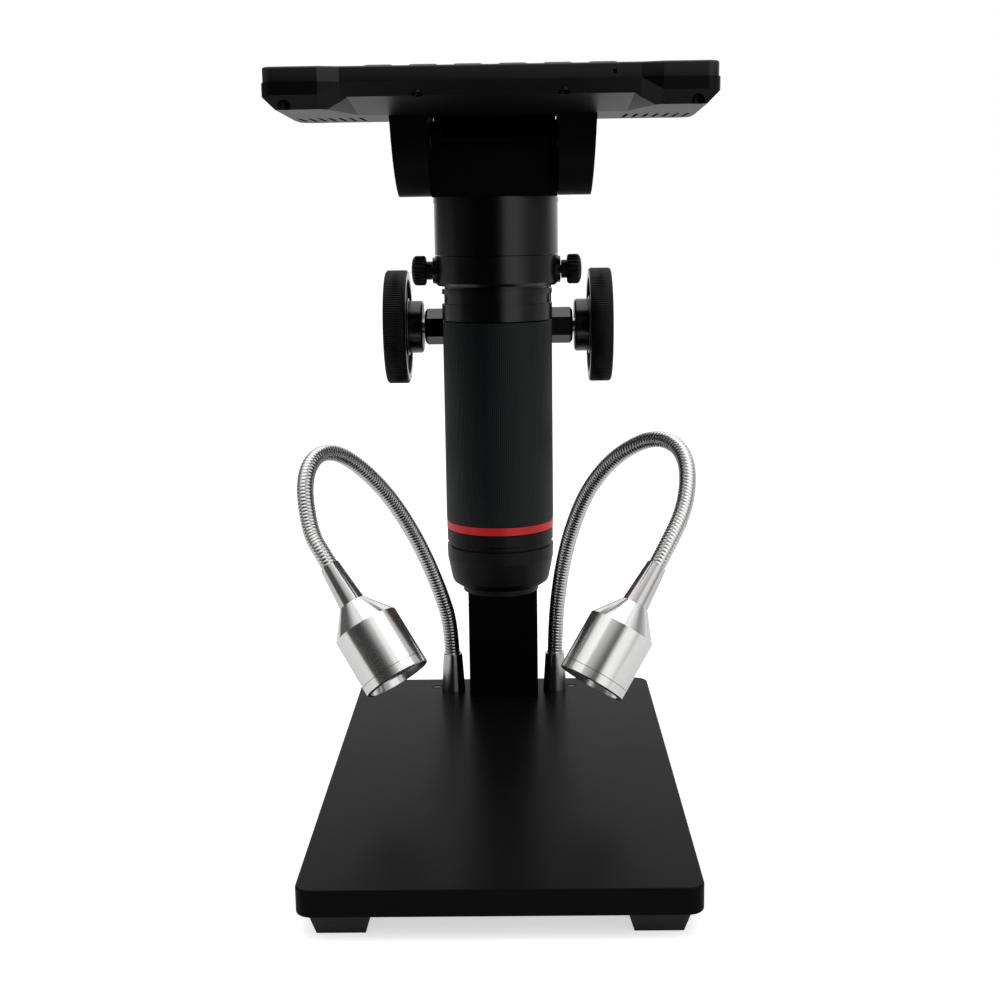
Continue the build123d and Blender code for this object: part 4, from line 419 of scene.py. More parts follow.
def grained_skin(name, colour, roughness, grain, depth, specular=0.5):
    """Sprayed or moulded skin: fine grain in the bump, slow clouds in the colour and the gloss."""
    finish = Finish(name, Specular_IOR_Level=specular)
    place = finish.place()
    fine = finish.noise(place, grain, 4.0, 0.62)
    slow = finish.noise(place, 38.0, 3.0)
    finish.feed("Base Color", finish.blend_colours(slow, shade(colour, 0.82), shade(colour, 1.2)))
    finish.feed("Roughness", roughness + (fine - 0.5) * 0.16 + (slow - 0.5) * 0.08)
    finish.bump(fine, depth)
    return finish.material


def turned_metal(name, colour, roughness, origin, axis, lines, depth, metallic=1.0, specular=0.5):
    """Lathe-turned metal: fine rings along the axis in colour, gloss and bump."""
    finish = Finish(name, Metallic=metallic, Specular_IOR_Level=specular)
    z = finish.parts(finish.turned_place(origin, axis))[2]
    rings = finish.line_noise(z, lines, 3.0)
    broad = finish.line_noise(z, lines / 14, 2.0)
    slow = finish.noise(finish.place(), 60.0, 3.0)
    finish.feed("Base Color", finish.blend_colours(rings, shade(colour, 0.93), shade(colour, 1.04)))
    change = (rings - 0.5) * 0.05 + (broad - 0.5) * 0.03 + (slow - 0.5) * 0.05
    finish.feed("Roughness", roughness + change)
    finish.bump(rings, depth)
    return finish.material


def rubber(name, colour):
    """Moulded rubber: dull, with fine pores and dusty patches."""
    finish = Finish(name)
    place = finish.place()
    pores = finish.noise(place, 2600.0, 3.0)
    dust = finish.step(finish.noise(place, 160.0, 5.0, 0.7), 0.45, 0.75)
    finish.feed("Base Color", finish.blend_colours(dust, colour, shade(colour, 1.9)))
    finish.feed("Roughness", 0.72 + dust * 0.14)
    finish.bump(pores, 0.04 * MM)
    return finish.material


def plated_steel(name, colour, roughness):
    """Plated or blackened steel: bright, with small clouded patches and handling marks."""
    finish = Finish(name, Metallic=1.0)
    place = finish.place()
    patches = finish.noise(place, 420.0, 4.0, 0.6)
    marks = finish.noise(place, 3200.0, 2.0)
    finish.feed("Base Color", finish.blend_colours(patches, shade(colour, 0.8), shade(colour, 1.12)))
    finish.feed("Roughness", roughness + (patches - 0.5) * 0.18 + (marks - 0.5) * 0.08)
    finish.bump(marks, 0.008 * MM)
    return finish.material


def bezel_finish(name, colour):
    """Moulded frame of the screen: black at the parting line and greyer towards its rounded upper edge, a
    painted highlight.
    """
    finish = Finish(name, Specular_IOR_Level=0.4)
    low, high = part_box("monitor_bezel")
    place = finish.place()
    z = finish.parts(place)[2]
    height = (z - float(low[2])) / float(high[2] - low[2])
    grain = finish.noise(place, 2600.0, 4.0, 0.62)
    # Painted highlight: the colour runs from black at the parting line to many times lighter at the upper
    # edge, in place of the light that edge catches.
    stops = [(share, shade(colour, factor)) for share, factor in ((0.0, 0.4), (0.14, 3.0), (1.0, 14.0))]
    grey = finish.ramp(height, *stops)
    finish.feed("Base Color", finish.blend_colours(grain * 0.3, grey, shade(colour, 3.0)))
    finish.feed("Roughness", 0.4 + (grain - 0.5) * 0.14)
    finish.bump(grain, 0.014 * MM)
    return finish.material


def board_finish(name):
    """Circuit board: green mask over a maze of copper tracks with bright pads."""
    finish = Finish(name)
    place = finish.place()
    sockets = {"Vector": place, "Scale": 900.0, "Randomness": 0.0}
    cells = finish.node("ShaderNodeTexVoronoi", {"distance": "CHEBYCHEV"}, sockets, "Distance")
    tracks = finish.step(finish.noise(place, 700.0, 0.0), 0.48, 0.52)
    pads = 1.0 - finish.step(cells, 0.12, 0.16)
    mask = finish.blend_colours(tracks, (0.006, 0.05, 0.02), (0.012, 0.095, 0.035))
    finish.feed("Base Color", finish.blend_colours(pads, mask, (0.62, 0.6, 0.5)))
    finish.feed("Roughness", 0.32 + pads * 0.1)
    finish.feed("Metallic", pads)
    finish.bump(tracks, 0.03 * MM)
    return finish.material


def knob_finish(name, shaft):
    """Black anodised knob whose flat inner face is machined bright after anodising."""
    finish = Finish(name, Specular_IOR_Level=0.16)
    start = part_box("knob_hubs")[1][0]
    rim = extent_of("focus_knobs")[1] / 2 - 0.9 * MM
    x, y, z = finish.parts(finish.place())
    out = y.maths("SQRT", (y - shaft[1]) * (y - shaft[1]) + (z - shaft[2]) * (z - shaft[2]))
    rings = finish.line_noise(out, 5200.0, 3.0)
    beyond = finish.step(abs(x), start + 0.02 * MM, start + 0.08 * MM)
    bare = (1.0 - beyond) * (1.0 - finish.step(out, rim, rim + 0.1 * MM))
    black = finish.blend_colours(rings, (0.0016, 0.0016, 0.0018), (0.0024, 0.0024, 0.0027))
    finish.feed("Base Color", finish.blend_colours(bare, black, (0.83, 0.82, 0.83)))
    finish.feed("Metallic", bare)
    finish.feed("Roughness", 0.4 - bare * 0.08 + (rings - 0.5) * 0.1)
    finish.bump(rings, 0.004 * MM)
    return finish.material


def satin_aluminium(name, colour, roughness, origin, axis):
    """Fine-turned aluminium: even along the axis, with broad faint streaks of painted reflection in its
    colour that change with the angle round it, and a dark seam where the mouth ring meets the shell."""
    finish = Finish(name, Metallic=0.94)
    x, y, z = finish.parts(finish.turned_place(origin, axis))
    angle = y.maths("ARCTAN2", y, x)
    # Painted reflection: broad streaks round the axis lighten and darken the base colour.
    painted_reflection_streaks = finish.line_noise(angle, 2.2, 2.0)
    clouds = finish.noise(finish.place(), 90.0, 3.0)
    plain = finish.blend_colours(painted_reflection_streaks, shade(colour, 0.84), shade(colour, 1.08))
    seam = 1.0 - finish.step(abs(z - BEZEL_SEAM), 0.03 * MM, 0.2 * MM)
    finish.feed("Base Color", finish.blend_colours(seam * 0.8, plain, shade(colour, 0.12)))
    finish.feed("Roughness", roughness + (painted_reflection_streaks - 0.5) * 0.1 + (clouds - 0.5) * 0.04)
    return finish.material


def screen_finish(name):
    """Switched-off screen: a glossy black pane whose active area is a shade bluer than its border."""
    finish = Finish(name, Coat_Weight=1.0, Coat_Roughness=0.03)
    low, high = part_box("lcd_panel")
    place = finish.place()
    parts = finish.parts(place)
    inside = []
    for axis, border in enumerate(SCREEN_BORDER):
        middle, half = (low[axis] + high[axis]) / 2, (high[axis] - low[axis]) / 2
        offset, edge = abs(parts[axis] - middle), half - border
        inside.append(1.0 - finish.step(offset, edge - SCREEN_BLUR, edge + SCREEN_BLUR))
    smudges = finish.noise(place, 30.0, 5.0, 0.65)
    active = inside[0] * inside[1]
    finish.feed("Base Color", finish.blend_colours(active, (0.003, 0.003, 0.003), (0.006, 0.009, 0.013)))
    finish.feed("Roughness", 0.12 + (smudges - 0.5) * 0.1)
    return finish.material


def clear_glass(name, tint, roughness):
    """Clear or lightly coated glass with faint dust."""
    finish = Finish(name, Transmission_Weight=1.0, IOR=1.5, Coat_Weight=0.3, Coat_Roughness=0.02)
    dust = finish.noise(finish.place(), 900.0, 5.0, 0.7)
    finish.feed("Base Color", finish.blend_colours(finish.step(dust, 0.6, 0.8), tint, shade(tint, 0.9)))
    finish.feed("Roughness", roughness + finish.step(dust, 0.55, 0.8) * 0.08)
    return finish.material


def wound_steel(name):
    """Wound spring steel: bright crowns with grooves darkened by painted shade, read from the winding's
    attribute.
    """
    finish = Finish(name, Metallic=1.0)
    crown = finish.node("ShaderNodeAttribute", {"attribute_name": "crown"}, None, "Fac")
    marks = finish.noise(finish.place(), 1500.0, 3.0)
    unshaded_crown = finish.step(crown, 0.05, 0.75)
    # Painted shade: the grooves between turns take a darker colour than the crowns.
    finish.feed("Base Color", finish.blend_colours(unshaded_crown, (0.3, 0.3, 0.3), (0.7, 0.7, 0.69)))
    finish.feed("Roughness", 0.38 - unshaded_crown * 0.12 + (marks - 0.5) * 0.06)
    return finish.material


# ---------------------------------------------------------------- finishes shared by the pieces
FINISHES = {}


def make_finishes(colours):
    """Make every finish once, under a plain name."""
    tube = tube_foot()
    shaft = tuple(centre_of("pinion_shaft"))
    anodised, moulding = tuple(colours.anodised), tuple(colours.moulding)
    # Colour, roughness, grains in a metre, depth of the grain and strength of the reflection.
    skins = {
        "stage paint": (colours.paint, 0.32, 2100.0, 0.01 * MM, 0.032),
        "moulding": (moulding, 0.38, 2600.0, 0.014 * MM, 0.15),
        "ear moulding": (shade(moulding, 0.7), 0.46, 2300.0, 0.02 * MM, 0.07),
        "key": ((0.09, 0.105, 0.095), 0.35, 1800.0, 0.008 * MM),
        "column": (shade(anodised, 0.6), 0.55, 3000.0, 0.012 * MM, 0.06),
        "carriage": (shade(anodised, 2.2), 0.4, 3400.0, 0.012 * MM, 0.25),
        "lens cell": ((0.004, 0.004, 0.004), 0.6, 2600.0, 0.02 * MM),
    }
    # Colour, roughness, a point and the direction of the axis, rings in a metre and their depth, then
    # how metallic it is and the strength of the reflection.
    turned = {
        "tube": (anodised, 0.24, tube, UP, 5200.0, 0.0005 * MM, 0.0, 0.45),
        "nose": (anodised, 0.4, tube, UP, 4200.0, 0.0008 * MM, 0.0, 0.2),
        "grip": (colours.grip, 0.36, tube, UP, 2600.0, 0.001 * MM, 0.0, 0.24),
        "accent": (colours.ring, 0.36, tube, UP, 5200.0, 0.004 * MM, 0.25),
        "dark chrome": ((0.055, 0.05, 0.05), 0.24, shaft, ALONG_SHAFT, 5200.0, 0.004 * MM),
        "shaft steel": ((0.6, 0.56, 0.46), 0.28, shaft, ALONG_SHAFT, 5200.0, 0.004 * MM),
        "brass": ((0.7, 0.5, 0.2), 0.3, shaft, ALONG_SHAFT, 4200.0, 0.006 * MM),
        "ferrule": ((0.55, 0.54, 0.53), 0.2, tube, UP, 6500.0, 0.004 * MM),
    }
    aluminium = {}
    for side in SIDES:
        origin, axis = lamp_axis(side)
        aluminium[f"lamp {side}"] = ((0.88, 0.88, 0.86), 0.17, origin, axis)
        aluminium[f"sleeve {side}"] = ((0.7, 0.69, 0.68), 0.16, origin, axis)
        turned[f"reflector {side}"] = ((0.42, 0.42, 0.41), 0.22, origin, axis, 3200.0, 0.004 * MM)
    plated = {
        "black screw": ((0.045, 0.045, 0.05), 0.36),
        "bright screw": ((0.55, 0.55, 0.57), 0.3),
        "oiled steel": ((0.2, 0.2, 0.21), 0.34),
        "nickel": ((0.6, 0.59, 0.57), 0.22),
    }
    glass = {"coated glass": ((0.72, 0.82, 0.9), 0.02), "clear glass": ((0.97, 0.98, 0.98), 0.03)}
    kinds = (
        (grained_skin, skins),
        (turned_metal, turned),
        (satin_aluminium, aluminium),
        (plated_steel, plated),
        (clear_glass, glass),
        (rubber, {"rubber": ((0.012, 0.012, 0.012),)}),
        (bezel_finish, {"bezel": (moulding,)}),
        (knob_finish, {"knob": (shaft,)}),
        (board_finish, {"board": ()}),
        (screen_finish, {"screen": ()}),
        (wound_steel, {"winding": ()}),
    )
    for kind, finishes in kinds:
        for name, values in finishes.items():
            FINISHES[name] = kind(name, *values)


CAD_FINISHES = {
    "stage paint": ("base_plate",),
    "rubber": ("feet",),
    "column": ("column",),
    "oiled steel": ("rack", "ferrule_nuts"),
    "ferrule": ("lamp_ferrules",),
    "carriage": ("focus_block",),
    "tube": ("ring_holder", "neck", "barrel_tube", "barrel_collar"),
    "nose": ("barrel_nose", "filter_ring"),
    "accent": ("red_ring",),
    "dark chrome": ("tension_collars", "knob_hubs"),
    "brass": ("shaft_bushes", "drive_pinion"),
    "shaft steel": ("pinion_shaft",),
    "bright screw": ("hinge_pins", "ear_screws", "base_screws"),
    "black screw": ("monitor_screws",),
    "ear moulding": ("hinge_ears", "head_block", "head_cover"),
    "moulding": ("monitor_back",),
    "bezel": ("monitor_bezel",),
    "screen": ("lcd_panel",),
    "board": ("circuit_boards", "sensor_board"),
    "nickel": ("io_ports",),
    "key": tuple(f"button_{number}" for number in range(1, 7)),
    "lens cell": ("lens_cell",),
    "coated glass": ("lens_elements",),
    "clear glass": ("lamp_lens_left", "lamp_lens_right"),
}
for side in SIDES:
    CAD_FINISHES[f"lamp {side}"] = (f"lamp_bezel_{side}", f"lamp_shell_{side}")
    CAD_FINISHES[f"sleeve {side}"] = (f"lamp_sleeve_{side}",)
    CAD_FINISHES[f"reflector {side}"] = (f"lamp_led_{side}",)


# ---------------------------------------------------------------- operators
class MICROSCOPE_OT_finishes(bpy.types.Operator):
    """Make the finishes and give them to the nodes that keep their shape"""

    bl_idname = "microscope.finishes"
    bl_label = "Finishes"

    def execute(self, context):
        make_finishes(scene_sizes(context).colours)
        for finish, nodes in CAD_FINISHES.items():
            for node in nodes:
                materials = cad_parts[node].data.materials
                materials.clear()
                materials.append(FINISHES[finish])
        return {"FINISHED"}


def ridged(ridges, depths):
    """A radius that dips by each row's depth between that many ridges, as a triangle wave in the angle."""
    depths = np.array(depths, float)[:, None]

    def shape(radius, angle, row):
        wave = np.abs(2 * np.mod(angle * ridges / (2 * math.pi), 1.0) - 1)
        return radius - depths[row[:, 0]] * wave

    return shape


def knurled(rows, origin, axis, ridges, depth, facets, closed=True):
    """A turned surface with ridges. Each row is a radius, a station and its share of their depth."""
    shape = ridged(ridges, [row[2] * depth for row in rows])
    return lathe([row[:2] for row in rows], origin, axis, ridges * facets, shape, closed)


def knob_rows(radius, thickness, shaft_radius):
    """A focus knob's closed outline, from its inner face outwards."""
    rim, floor = radius - KNOB_RIM, thickness - KNOB_DISH
    return [
        (shaft_radius, 0.0, 0),
        (KNOB_BOSS_RADIUS - BEVEL, 0.0, 0),
        (KNOB_BOSS_RADIUS, BEVEL, 0),
        (KNOB_BOSS_RADIUS, KNOB_DISH, 0),
        (rim, KNOB_DISH, 0),
        (rim, BEVEL, 0),
        (rim + BEVEL, 0.0, 0),
        (radius - KNOB_EDGE, 0.0, 0),
        (radius - KNOB_ROUNDING, KNOB_EDGE / 2, 0.4),
        (radius, KNOB_EDGE, 1),
        (radius, thickness / 2, 1),
        (radius, thickness - KNOB_EDGE, 1),
        (radius - KNOB_ROUNDING, thickness - KNOB_EDGE / 2, 0.4),
        (radius - KNOB_EDGE, thickness, 0),
        (rim + BEVEL, thickness, 0),
        (rim, thickness - BEVEL, 0),
        (rim - KNOB_DISH, floor, 0),
        (rim - KNOB_DISH - 5 * BEVEL, floor - BEVEL / 4, 0),
        (shaft_radius, floor, 0),
    ]


class MICROSCOPE_OT_knobs(bpy.types.Operator):
    """Two focus knobs with straight knurls round their rims"""

    bl_idname = "microscope.knobs"
    bl_label = "Focus knobs"

    def execute(self, context):
        knurls = scene_sizes(context).knurls
        middle = centre_of("focus_knobs")
        shaft_radius = extent_of("pinion_shaft")[1] / 2
        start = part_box("knob_hubs")[1][0]
        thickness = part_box("focus_knobs")[1][0] - start
        rows = knob_rows(extent_of("focus_knobs")[1] / 2, thickness, shaft_radius)
        ridges, depth = knurls.knob_ridges, knurls.knob_depth
        parts = []
        for side in SIDES.values():
            origin = (side * start, middle[1], middle[2])
            parts.append(knurled(rows, origin, (side, 0, 0), ridges, depth, KNOB_FACETS))
        surface = joined(parts)
        make_piece("knurled_knobs", surface, FINISHES["knob"], "focus_drive", ["focus_knobs"])
        return {"FINISHED"}


class MICROSCOPE_OT_grip(bpy.types.Operator):
    """The focusing grip with its fine straight ridges"""

    bl_idname = "microscope.grip"
    bl_label = "Focusing grip"

    def execute(self, context):
        knurls = scene_sizes(context).knurls
        low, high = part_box("focus_grip")
        radius = extent_of("focus_grip")[0] / 2
        bottom, top = low[2], high[2]
        rows = [
            (GRIP_BORE_RADIUS, bottom, 0),
            (radius - GRIP_EDGE, bottom, 0),
            (radius - GRIP_ROUNDING, bottom + GRIP_EDGE * 0.7, 0.2),
            (radius, bottom + GRIP_RUNOUT, 1),
            (radius, (bottom + top) / 2, 1),
            (radius, top - GRIP_RUNOUT, 1),
            (radius - GRIP_ROUNDING, top - GRIP_EDGE * 0.7, 0.2),
            (radius - GRIP_EDGE, top, 0),
            (GRIP_BORE_RADIUS, top, 0),
        ]
        surface = knurled(rows, tube_foot(), UP, knurls.grip_ridges, knurls.grip_depth, FINE_FACETS)
        make_piece("ridged_grip", surface, FINISHES["grip"], "grip", ["focus_grip"])
        return {"FINISHED"}


class MICROSCOPE_OT_thumbscrews(bpy.types.Operator):
    """Two thumbscrews with knurled, domed heads"""

    bl_idname = "microscope.thumbscrews"
    bl_label = "Thumbscrews"

    def execute(self, context):
        knurls = scene_sizes(context).knurls
        for name, side in SIDES.items():
            node = f"thumbscrew_{name}"
            low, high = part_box(node)
            radius = extent_of(node)[1] / 2
            start, end = sorted((abs(low[0]), abs(high[0])))
            head_start = end - CLAMP_HEAD_LENGTH
            neck_start = head_start - CLAMP_NECK_LENGTH
            # Shank, neck, the knurl with an edge on each side, and a low dome.
            rows = [
                (0.0, start, 0),
                (CLAMP_SHANK_RADIUS, start, 0),
                (CLAMP_SHANK_RADIUS, neck_start, 0),
                (CLAMP_NECK_RADIUS, neck_start, 0),
                (CLAMP_NECK_RADIUS, head_start, 0),
                (radius - 0.7 * MM, head_start, 0),
                (radius - 0.2 * MM, head_start + 0.3 * MM, 0.5),
                (radius, head_start + 0.7 * MM, 1),
                (radius, end - 1.6 * MM, 1),
                (radius - 0.2 * MM, end - 1.1 * MM, 0.6),
                (radius - 0.8 * MM, end - 0.6 * MM, 0.2),
                (radius - 1.8 * MM, end - 0.25 * MM, 0),
                (radius - 3.2 * MM, end - 0.05 * MM, 0),
                (0.0, end, 0),
            ]
            middle = centre_of(node)
            origin, axis = (0, middle[1], middle[2]), (side, 0, 0)
            ridges, depth = knurls.screw_ridges, knurls.screw_depth
            surface = knurled(rows, origin, axis, ridges, depth, FINE_FACETS, closed=False)
            make_piece(f"knurled_{node}", surface, FINISHES["knob"], f"clamp_{name}", [node])
        return {"FINISHED"}


def centre_line(name, corners):
    """Points along the route's own NURBS curve, as Blender works it out with no bevel."""
    curve = bpy.data.curves.new(name, "CURVE")
    curve.dimensions = "3D"
    curve.resolution_u = 24
    spline = curve.splines.new("NURBS")
    spline.points.add(len(corners) - 1)
    weights = np.ones((len(corners), 1))
    spline.points.foreach_set("co", np.concatenate([corners, weights], axis=1).ravel())
    spline.order_u = 3
    spline.use_endpoint_u = True
    holder = bpy.data.objects.new(name, curve)
    bpy.context.scene.collection.objects.link(holder)
    graph = bpy.context.evaluated_depsgraph_get()
    mesh = bpy.data.meshes.new_from_object(holder.evaluated_get(graph))
    points = np.empty(len(mesh.vertices) * 3)
    mesh.vertices.foreach_get("co", points)
    bpy.data.objects.remove(holder)
    bpy.data.curves.remove(curve)
    bpy.data.meshes.remove(mesh)
    return points.reshape(-1, 3)


def evenly_spaced(points, step):
    """Resample a line at equal steps of its length."""
    lengths = np.concatenate([[0], np.cumsum(np.linalg.norm(np.diff(points, axis=0), axis=1))])
    count = max(2, int(round(lengths[-1] / step)) + 1)
    stations = np.linspace(0, lengths[-1], count)
    return np.stack([np.interp(stations, lengths, points[:, axis]) for axis in range(3)], axis=1), stations


def winding(points, stations, radius, pitch, groove):
    """A tube wound from one wire. Its radius at station s and angle a is the outer radius less the
    groove's depth times 1 - sqrt(1 - u * u), where u runs from -1 to 1 across each turn and the turn
    moves on by one pitch as the angle goes once round. The frame at each station is the line's
    direction and a side vector kept square to it from one fixed vector."""
    direction = np.gradient(points, axis=0)
    direction /= np.linalg.norm(direction, axis=1, keepdims=True)
    flat = points[-1] - points[0]
    fixed = np.cross(flat, UP)
    fixed /= np.linalg.norm(fixed)
    side = fixed - (direction @ fixed)[:, None] * direction
    side /= np.linalg.norm(side, axis=1, keepdims=True)
    other = np.cross(direction, side)
    angle = np.linspace(0, 2 * math.pi, AROUND_WINDING, endpoint=False)
    turns = stations[:, None] / pitch + angle[None, :] / (2 * math.pi)
    u = 2 * np.mod(turns, 1.0) - 1
    crown = np.sqrt(np.clip(1 - u * u, 0, 1))
    around = np.cos(angle)[None, :, None] * side[:, None] + np.sin(angle)[None, :, None] * other[:, None]
    surface = points[:, None] + (radius - groove * (1 - crown))[..., None] * around
    return surface, crown


def capped(surface):
    """Close a tube's two ends with a middle point each, as rows of one repeated point."""
    ends = [np.repeat(surface[k].mean(axis=0)[None, None], surface.shape[1], axis=1) for k in (0, -1)]
    closed = np.concatenate([ends[0], surface, ends[1]])
    return closed.reshape(-1, 3), quads(closed.shape[0], closed.shape[1], False, True)


class MICROSCOPE_OT_goosenecks(bpy.types.Operator):
    """Two wound steel goosenecks, each in one long piece and one short piece at the lamp"""

    bl_idname = "microscope.goosenecks"
    bl_label = "Goosenecks"

    def execute(self, context):
        sizes = scene_sizes(context).gooseneck
        for name in SIDES:
            corners = route_corners(name)
            line = centre_line(f"route_{name}", corners)
            points, stations = evenly_spaced(line, sizes.pitch / SAMPLES_PER_TURN)
            surface, crown = winding(points, stations, sizes.radius, sizes.pitch, sizes.groove)
            split = int(np.argmin(np.linalg.norm(points - corners[8], axis=1)))
            arm, head = f"lamp_arm_{name}", f"lamp_head_{name}"
            for part, rows in (("arm", slice(0, split + 1)), ("tip", slice(split, None))):
                piece_crown = crown[rows]
                crowns = np.concatenate([piece_crown[:1] * 0, piece_crown, piece_crown[:1] * 0]).ravel()
                piece = make_piece(
                    f"gooseneck_winding_{part}_{name}",
                    capped(surface[rows]),
                    FINISHES["winding"],
                    arm if part == "arm" else None,
                    [f"gooseneck_{name}"],
                    sharp=75,
                )
                self.colour_crowns(piece, surface[rows], crowns)
                if part == "tip":
                    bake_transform(piece)
        return {"FINISHED"}

    @staticmethod
    def colour_crowns(piece, surface, crowns):
        """Store how near each vertex is to the crown of its turn, from the winding's own grid."""
        grid, _ = capped(surface)
        points = np.empty(len(piece.data.vertices) * 3)
        piece.data.vertices.foreach_get("co", points)
        order = np.lexsort(np.round(grid, 7).T)
        own = np.lexsort(np.round(points.reshape(-1, 3), 7).T)
        values = np.zeros(len(own))
        keep = np.concatenate([[True], np.any(np.diff(np.round(grid[order], 7), axis=0) != 0, axis=1)])
        picked = order[keep]
        if len(picked) != len(own):
            raise RuntimeError(f"{piece.name}: {len(picked)} grid points for {len(own)} vertices")
        values[own] = crowns[picked]
        attribute = piece.data.attributes.new("crown", "FLOAT", "POINT")
        attribute.data.foreach_set("value", values)


def socket_head(origin, head_radius, head_height, shank_radius, socket, depth, whole):
    """A screw seen from its head: station 0 is the head's top and stations go down to the tip. The
    socket is a hexagon, whose radius at angle a is its apothem over the cosine of the angle to the
    nearest flat's middle."""
    chamfer = head_height * 0.12
    profile = [
        (0.0, depth),
        (socket * 0.55, depth),
        (socket, depth * 0.9),
        (socket, 0.04 * MM),
        (socket + 0.05 * MM, 0.0),
        (head_radius - chamfer, 0.0),
        (head_radius, chamfer),
        (head_radius, head_height),
        (shank_radius, head_height),
        (shank_radius, whole - shank_radius / 2),
        (shank_radius / 2, whole),
        (0.0, whole),
    ]

    def shape(radius, angle, row):
        from_flat = np.mod(angle + math.pi / 6, math.pi / 3) - math.pi / 6
        hexagon = radius / np.cos(from_flat)
        return np.where((row >= 2) & (row <= 4), hexagon, radius)

    return lathe(profile, origin, DOWN, ROUND_FACETS, shape)


def round_boxes(node):
    """The boxes of a node's separate solids, as (low, high) arrays, from its loose mesh."""
    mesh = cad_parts[node].data
    work = bmesh.new()
    work.from_mesh(mesh)
    bmesh.ops.remove_doubles(work, verts=work.verts, dist=1e-6)
    work.verts.ensure_lookup_table()
    todo, boxes = set(work.verts), []
    while todo:
        seed = todo.pop()
        island, front = [seed], [seed]
        while front:
            vertex = front.pop()
            for edge in vertex.link_edges:
                neighbour = edge.other_vert(vertex)
                if neighbour in todo:
                    todo.discard(neighbour)
                    island.append(neighbour)
                    front.append(neighbour)
        points = np.array([vertex.co[:] for vertex in island])
        boxes.append((points.min(axis=0), points.max(axis=0)))
    work.free()
    return sorted(boxes, key=lambda pair: tuple(np.round(pair[0], 5)))


def ringed_plugs():
    """Blind plugs: a flat, slightly crowned disc inside a thin groove. Station 0 is the top."""
    parts = []
    for low, high in round_boxes("stage_plugs"):
        radius, height = (high[0] - low[0]) / 2, high[2] - low[2]
        lip = radius - PLUG_RIM
        groove = lip - PLUG_GROOVE
        profile = [
            (0.0, 0.0),
            (groove - 0.4 * MM, 0.02 * MM),
            (groove - 0.1 * MM, 0.08 * MM),
            (groove, PLUG_GROOVE),
            (lip, PLUG_GROOVE),
            (lip + 0.05 * MM, 0.03 * MM),
            (radius, 0.05 * MM),
            (radius, height),
            (0.0, height),
        ]
        middle = (low + high) / 2
        parts.append(lathe(profile, (middle[0], middle[1], high[2]), DOWN, ROUND_FACETS))
    return joined(parts)


# Screws with sockets: node and body, then in mm the head's radius and height, the shank's radius, and
# the socket's apothem and depth.
SOCKET_SCREWS = (
    ("holder_screws", "carriage", 2.8, 3.0, 1.5, 1.25, 1.5),
    ("cover_screws", "microscope", 2.7, 1.0, 1.5, 1.0, 0.8),
)


class MICROSCOPE_OT_screws(bpy.types.Operator):
    """Cap screws and cover screws with hexagon sockets, and ringed blind plugs"""

    bl_idname = "microscope.screws"
    bl_label = "Screws and plugs"

    def execute(self, context):
        for node, body, *sizes in SOCKET_SCREWS:
            parts = []
            for low, high in round_boxes(node):
                middle = (low + high) / 2
                origin = (middle[0], middle[1], high[2])
                parts.append(socket_head(origin, *(size * MM for size in sizes), high[2] - low[2]))
            surface = joined(parts)
            make_piece(f"{node}_sockets", surface, FINISHES["black screw"], body, [node])
        make_piece("ringed_plugs", ringed_plugs(), FINISHES["nose"], "stand", ["stage_plugs"])
        return {"FINISHED"}


# ---------------------------------------------------------------- stage
CAMERA_PLACE = (7.2465 * MM, -492.4819 * MM, 205.055 * MM)
CAMERA_PITCH = 10.7007
CAMERA_YAW = -0.7882
CAMERA_ROLL = -0.8024
FOCAL_PIXELS = 1453.206
IMAGE_WIDTH = 1000
SENSOR_WIDTH = 36.0


def camera_axes():
    """Right, up and backward directions of the camera from its yaw, pitch and roll."""
    pitch, yaw, roll = (math.radians(value) for value in (CAMERA_PITCH, CAMERA_YAW, CAMERA_ROLL))
    forward = Vector((math.sin(yaw) * math.cos(pitch), math.cos(yaw) * math.cos(pitch), -math.sin(pitch)))
    level = Vector((math.cos(yaw), -math.sin(yaw), 0.0))
    upward = level.cross(forward)
    right = level * math.cos(roll) + upward * math.sin(roll)
    up = upward * math.cos(roll) - level * math.sin(roll)
    return right, up, -forward


class Sky(Finish):
    """The world's light, made with the same nodes as a finish."""

    def __init__(self, world):
        world.use_nodes = True
        self.tree = world.node_tree
        self.tree.nodes.clear()
        self.shader = self.tree.nodes.new("ShaderNodeBackground")
        output = self.tree.nodes.new("ShaderNodeOutputWorld")
        self.tree.links.new(self.shader.outputs[0], output.inputs["Surface"])


# How bright the studio is in reflections: degrees round from the camera's side of the object, with the
# right-hand side positive, and the level there.
STUDIO_RING = (
    (-180, 1.0), (-162, 1.0), (-136, 0.07), (-80, 0.06), (-48, 0.03), (-36, 0.0), (8, 0.0),
    (20, 1.0), (40, 1.0), (60, 0.4), (86, 0.16), (108, 0.2), (134, 1.0), (180, 1.0),
)
CEILING_RISE = (0.42, 0.8)      # upward share of a direction where the ceiling starts and is full
CEILING_LEVEL = 0.8
ROOM_LEVEL = 0.55               # what lights dull surfaces
# Soft square lamps: name, place, the point that each looks at, length of a side and watts.
LAMPS = (
    ("softbox_right", (1.1, -0.45, 0.95), (0, 0, 0.12), 1.1, 3.2),
    ("softbox_left", (-1.15, -0.3, 0.9), (0, 0, 0.12), 1.1, 1.7),
    ("overhead", (0.0, 0.15, 1.4), (0, 0, 0.1), 1.5, 7.0),
)
FLOOR_REACH = 6.0
FLOOR_FRONT = -0.24             # the floor's front edge lies before the stage


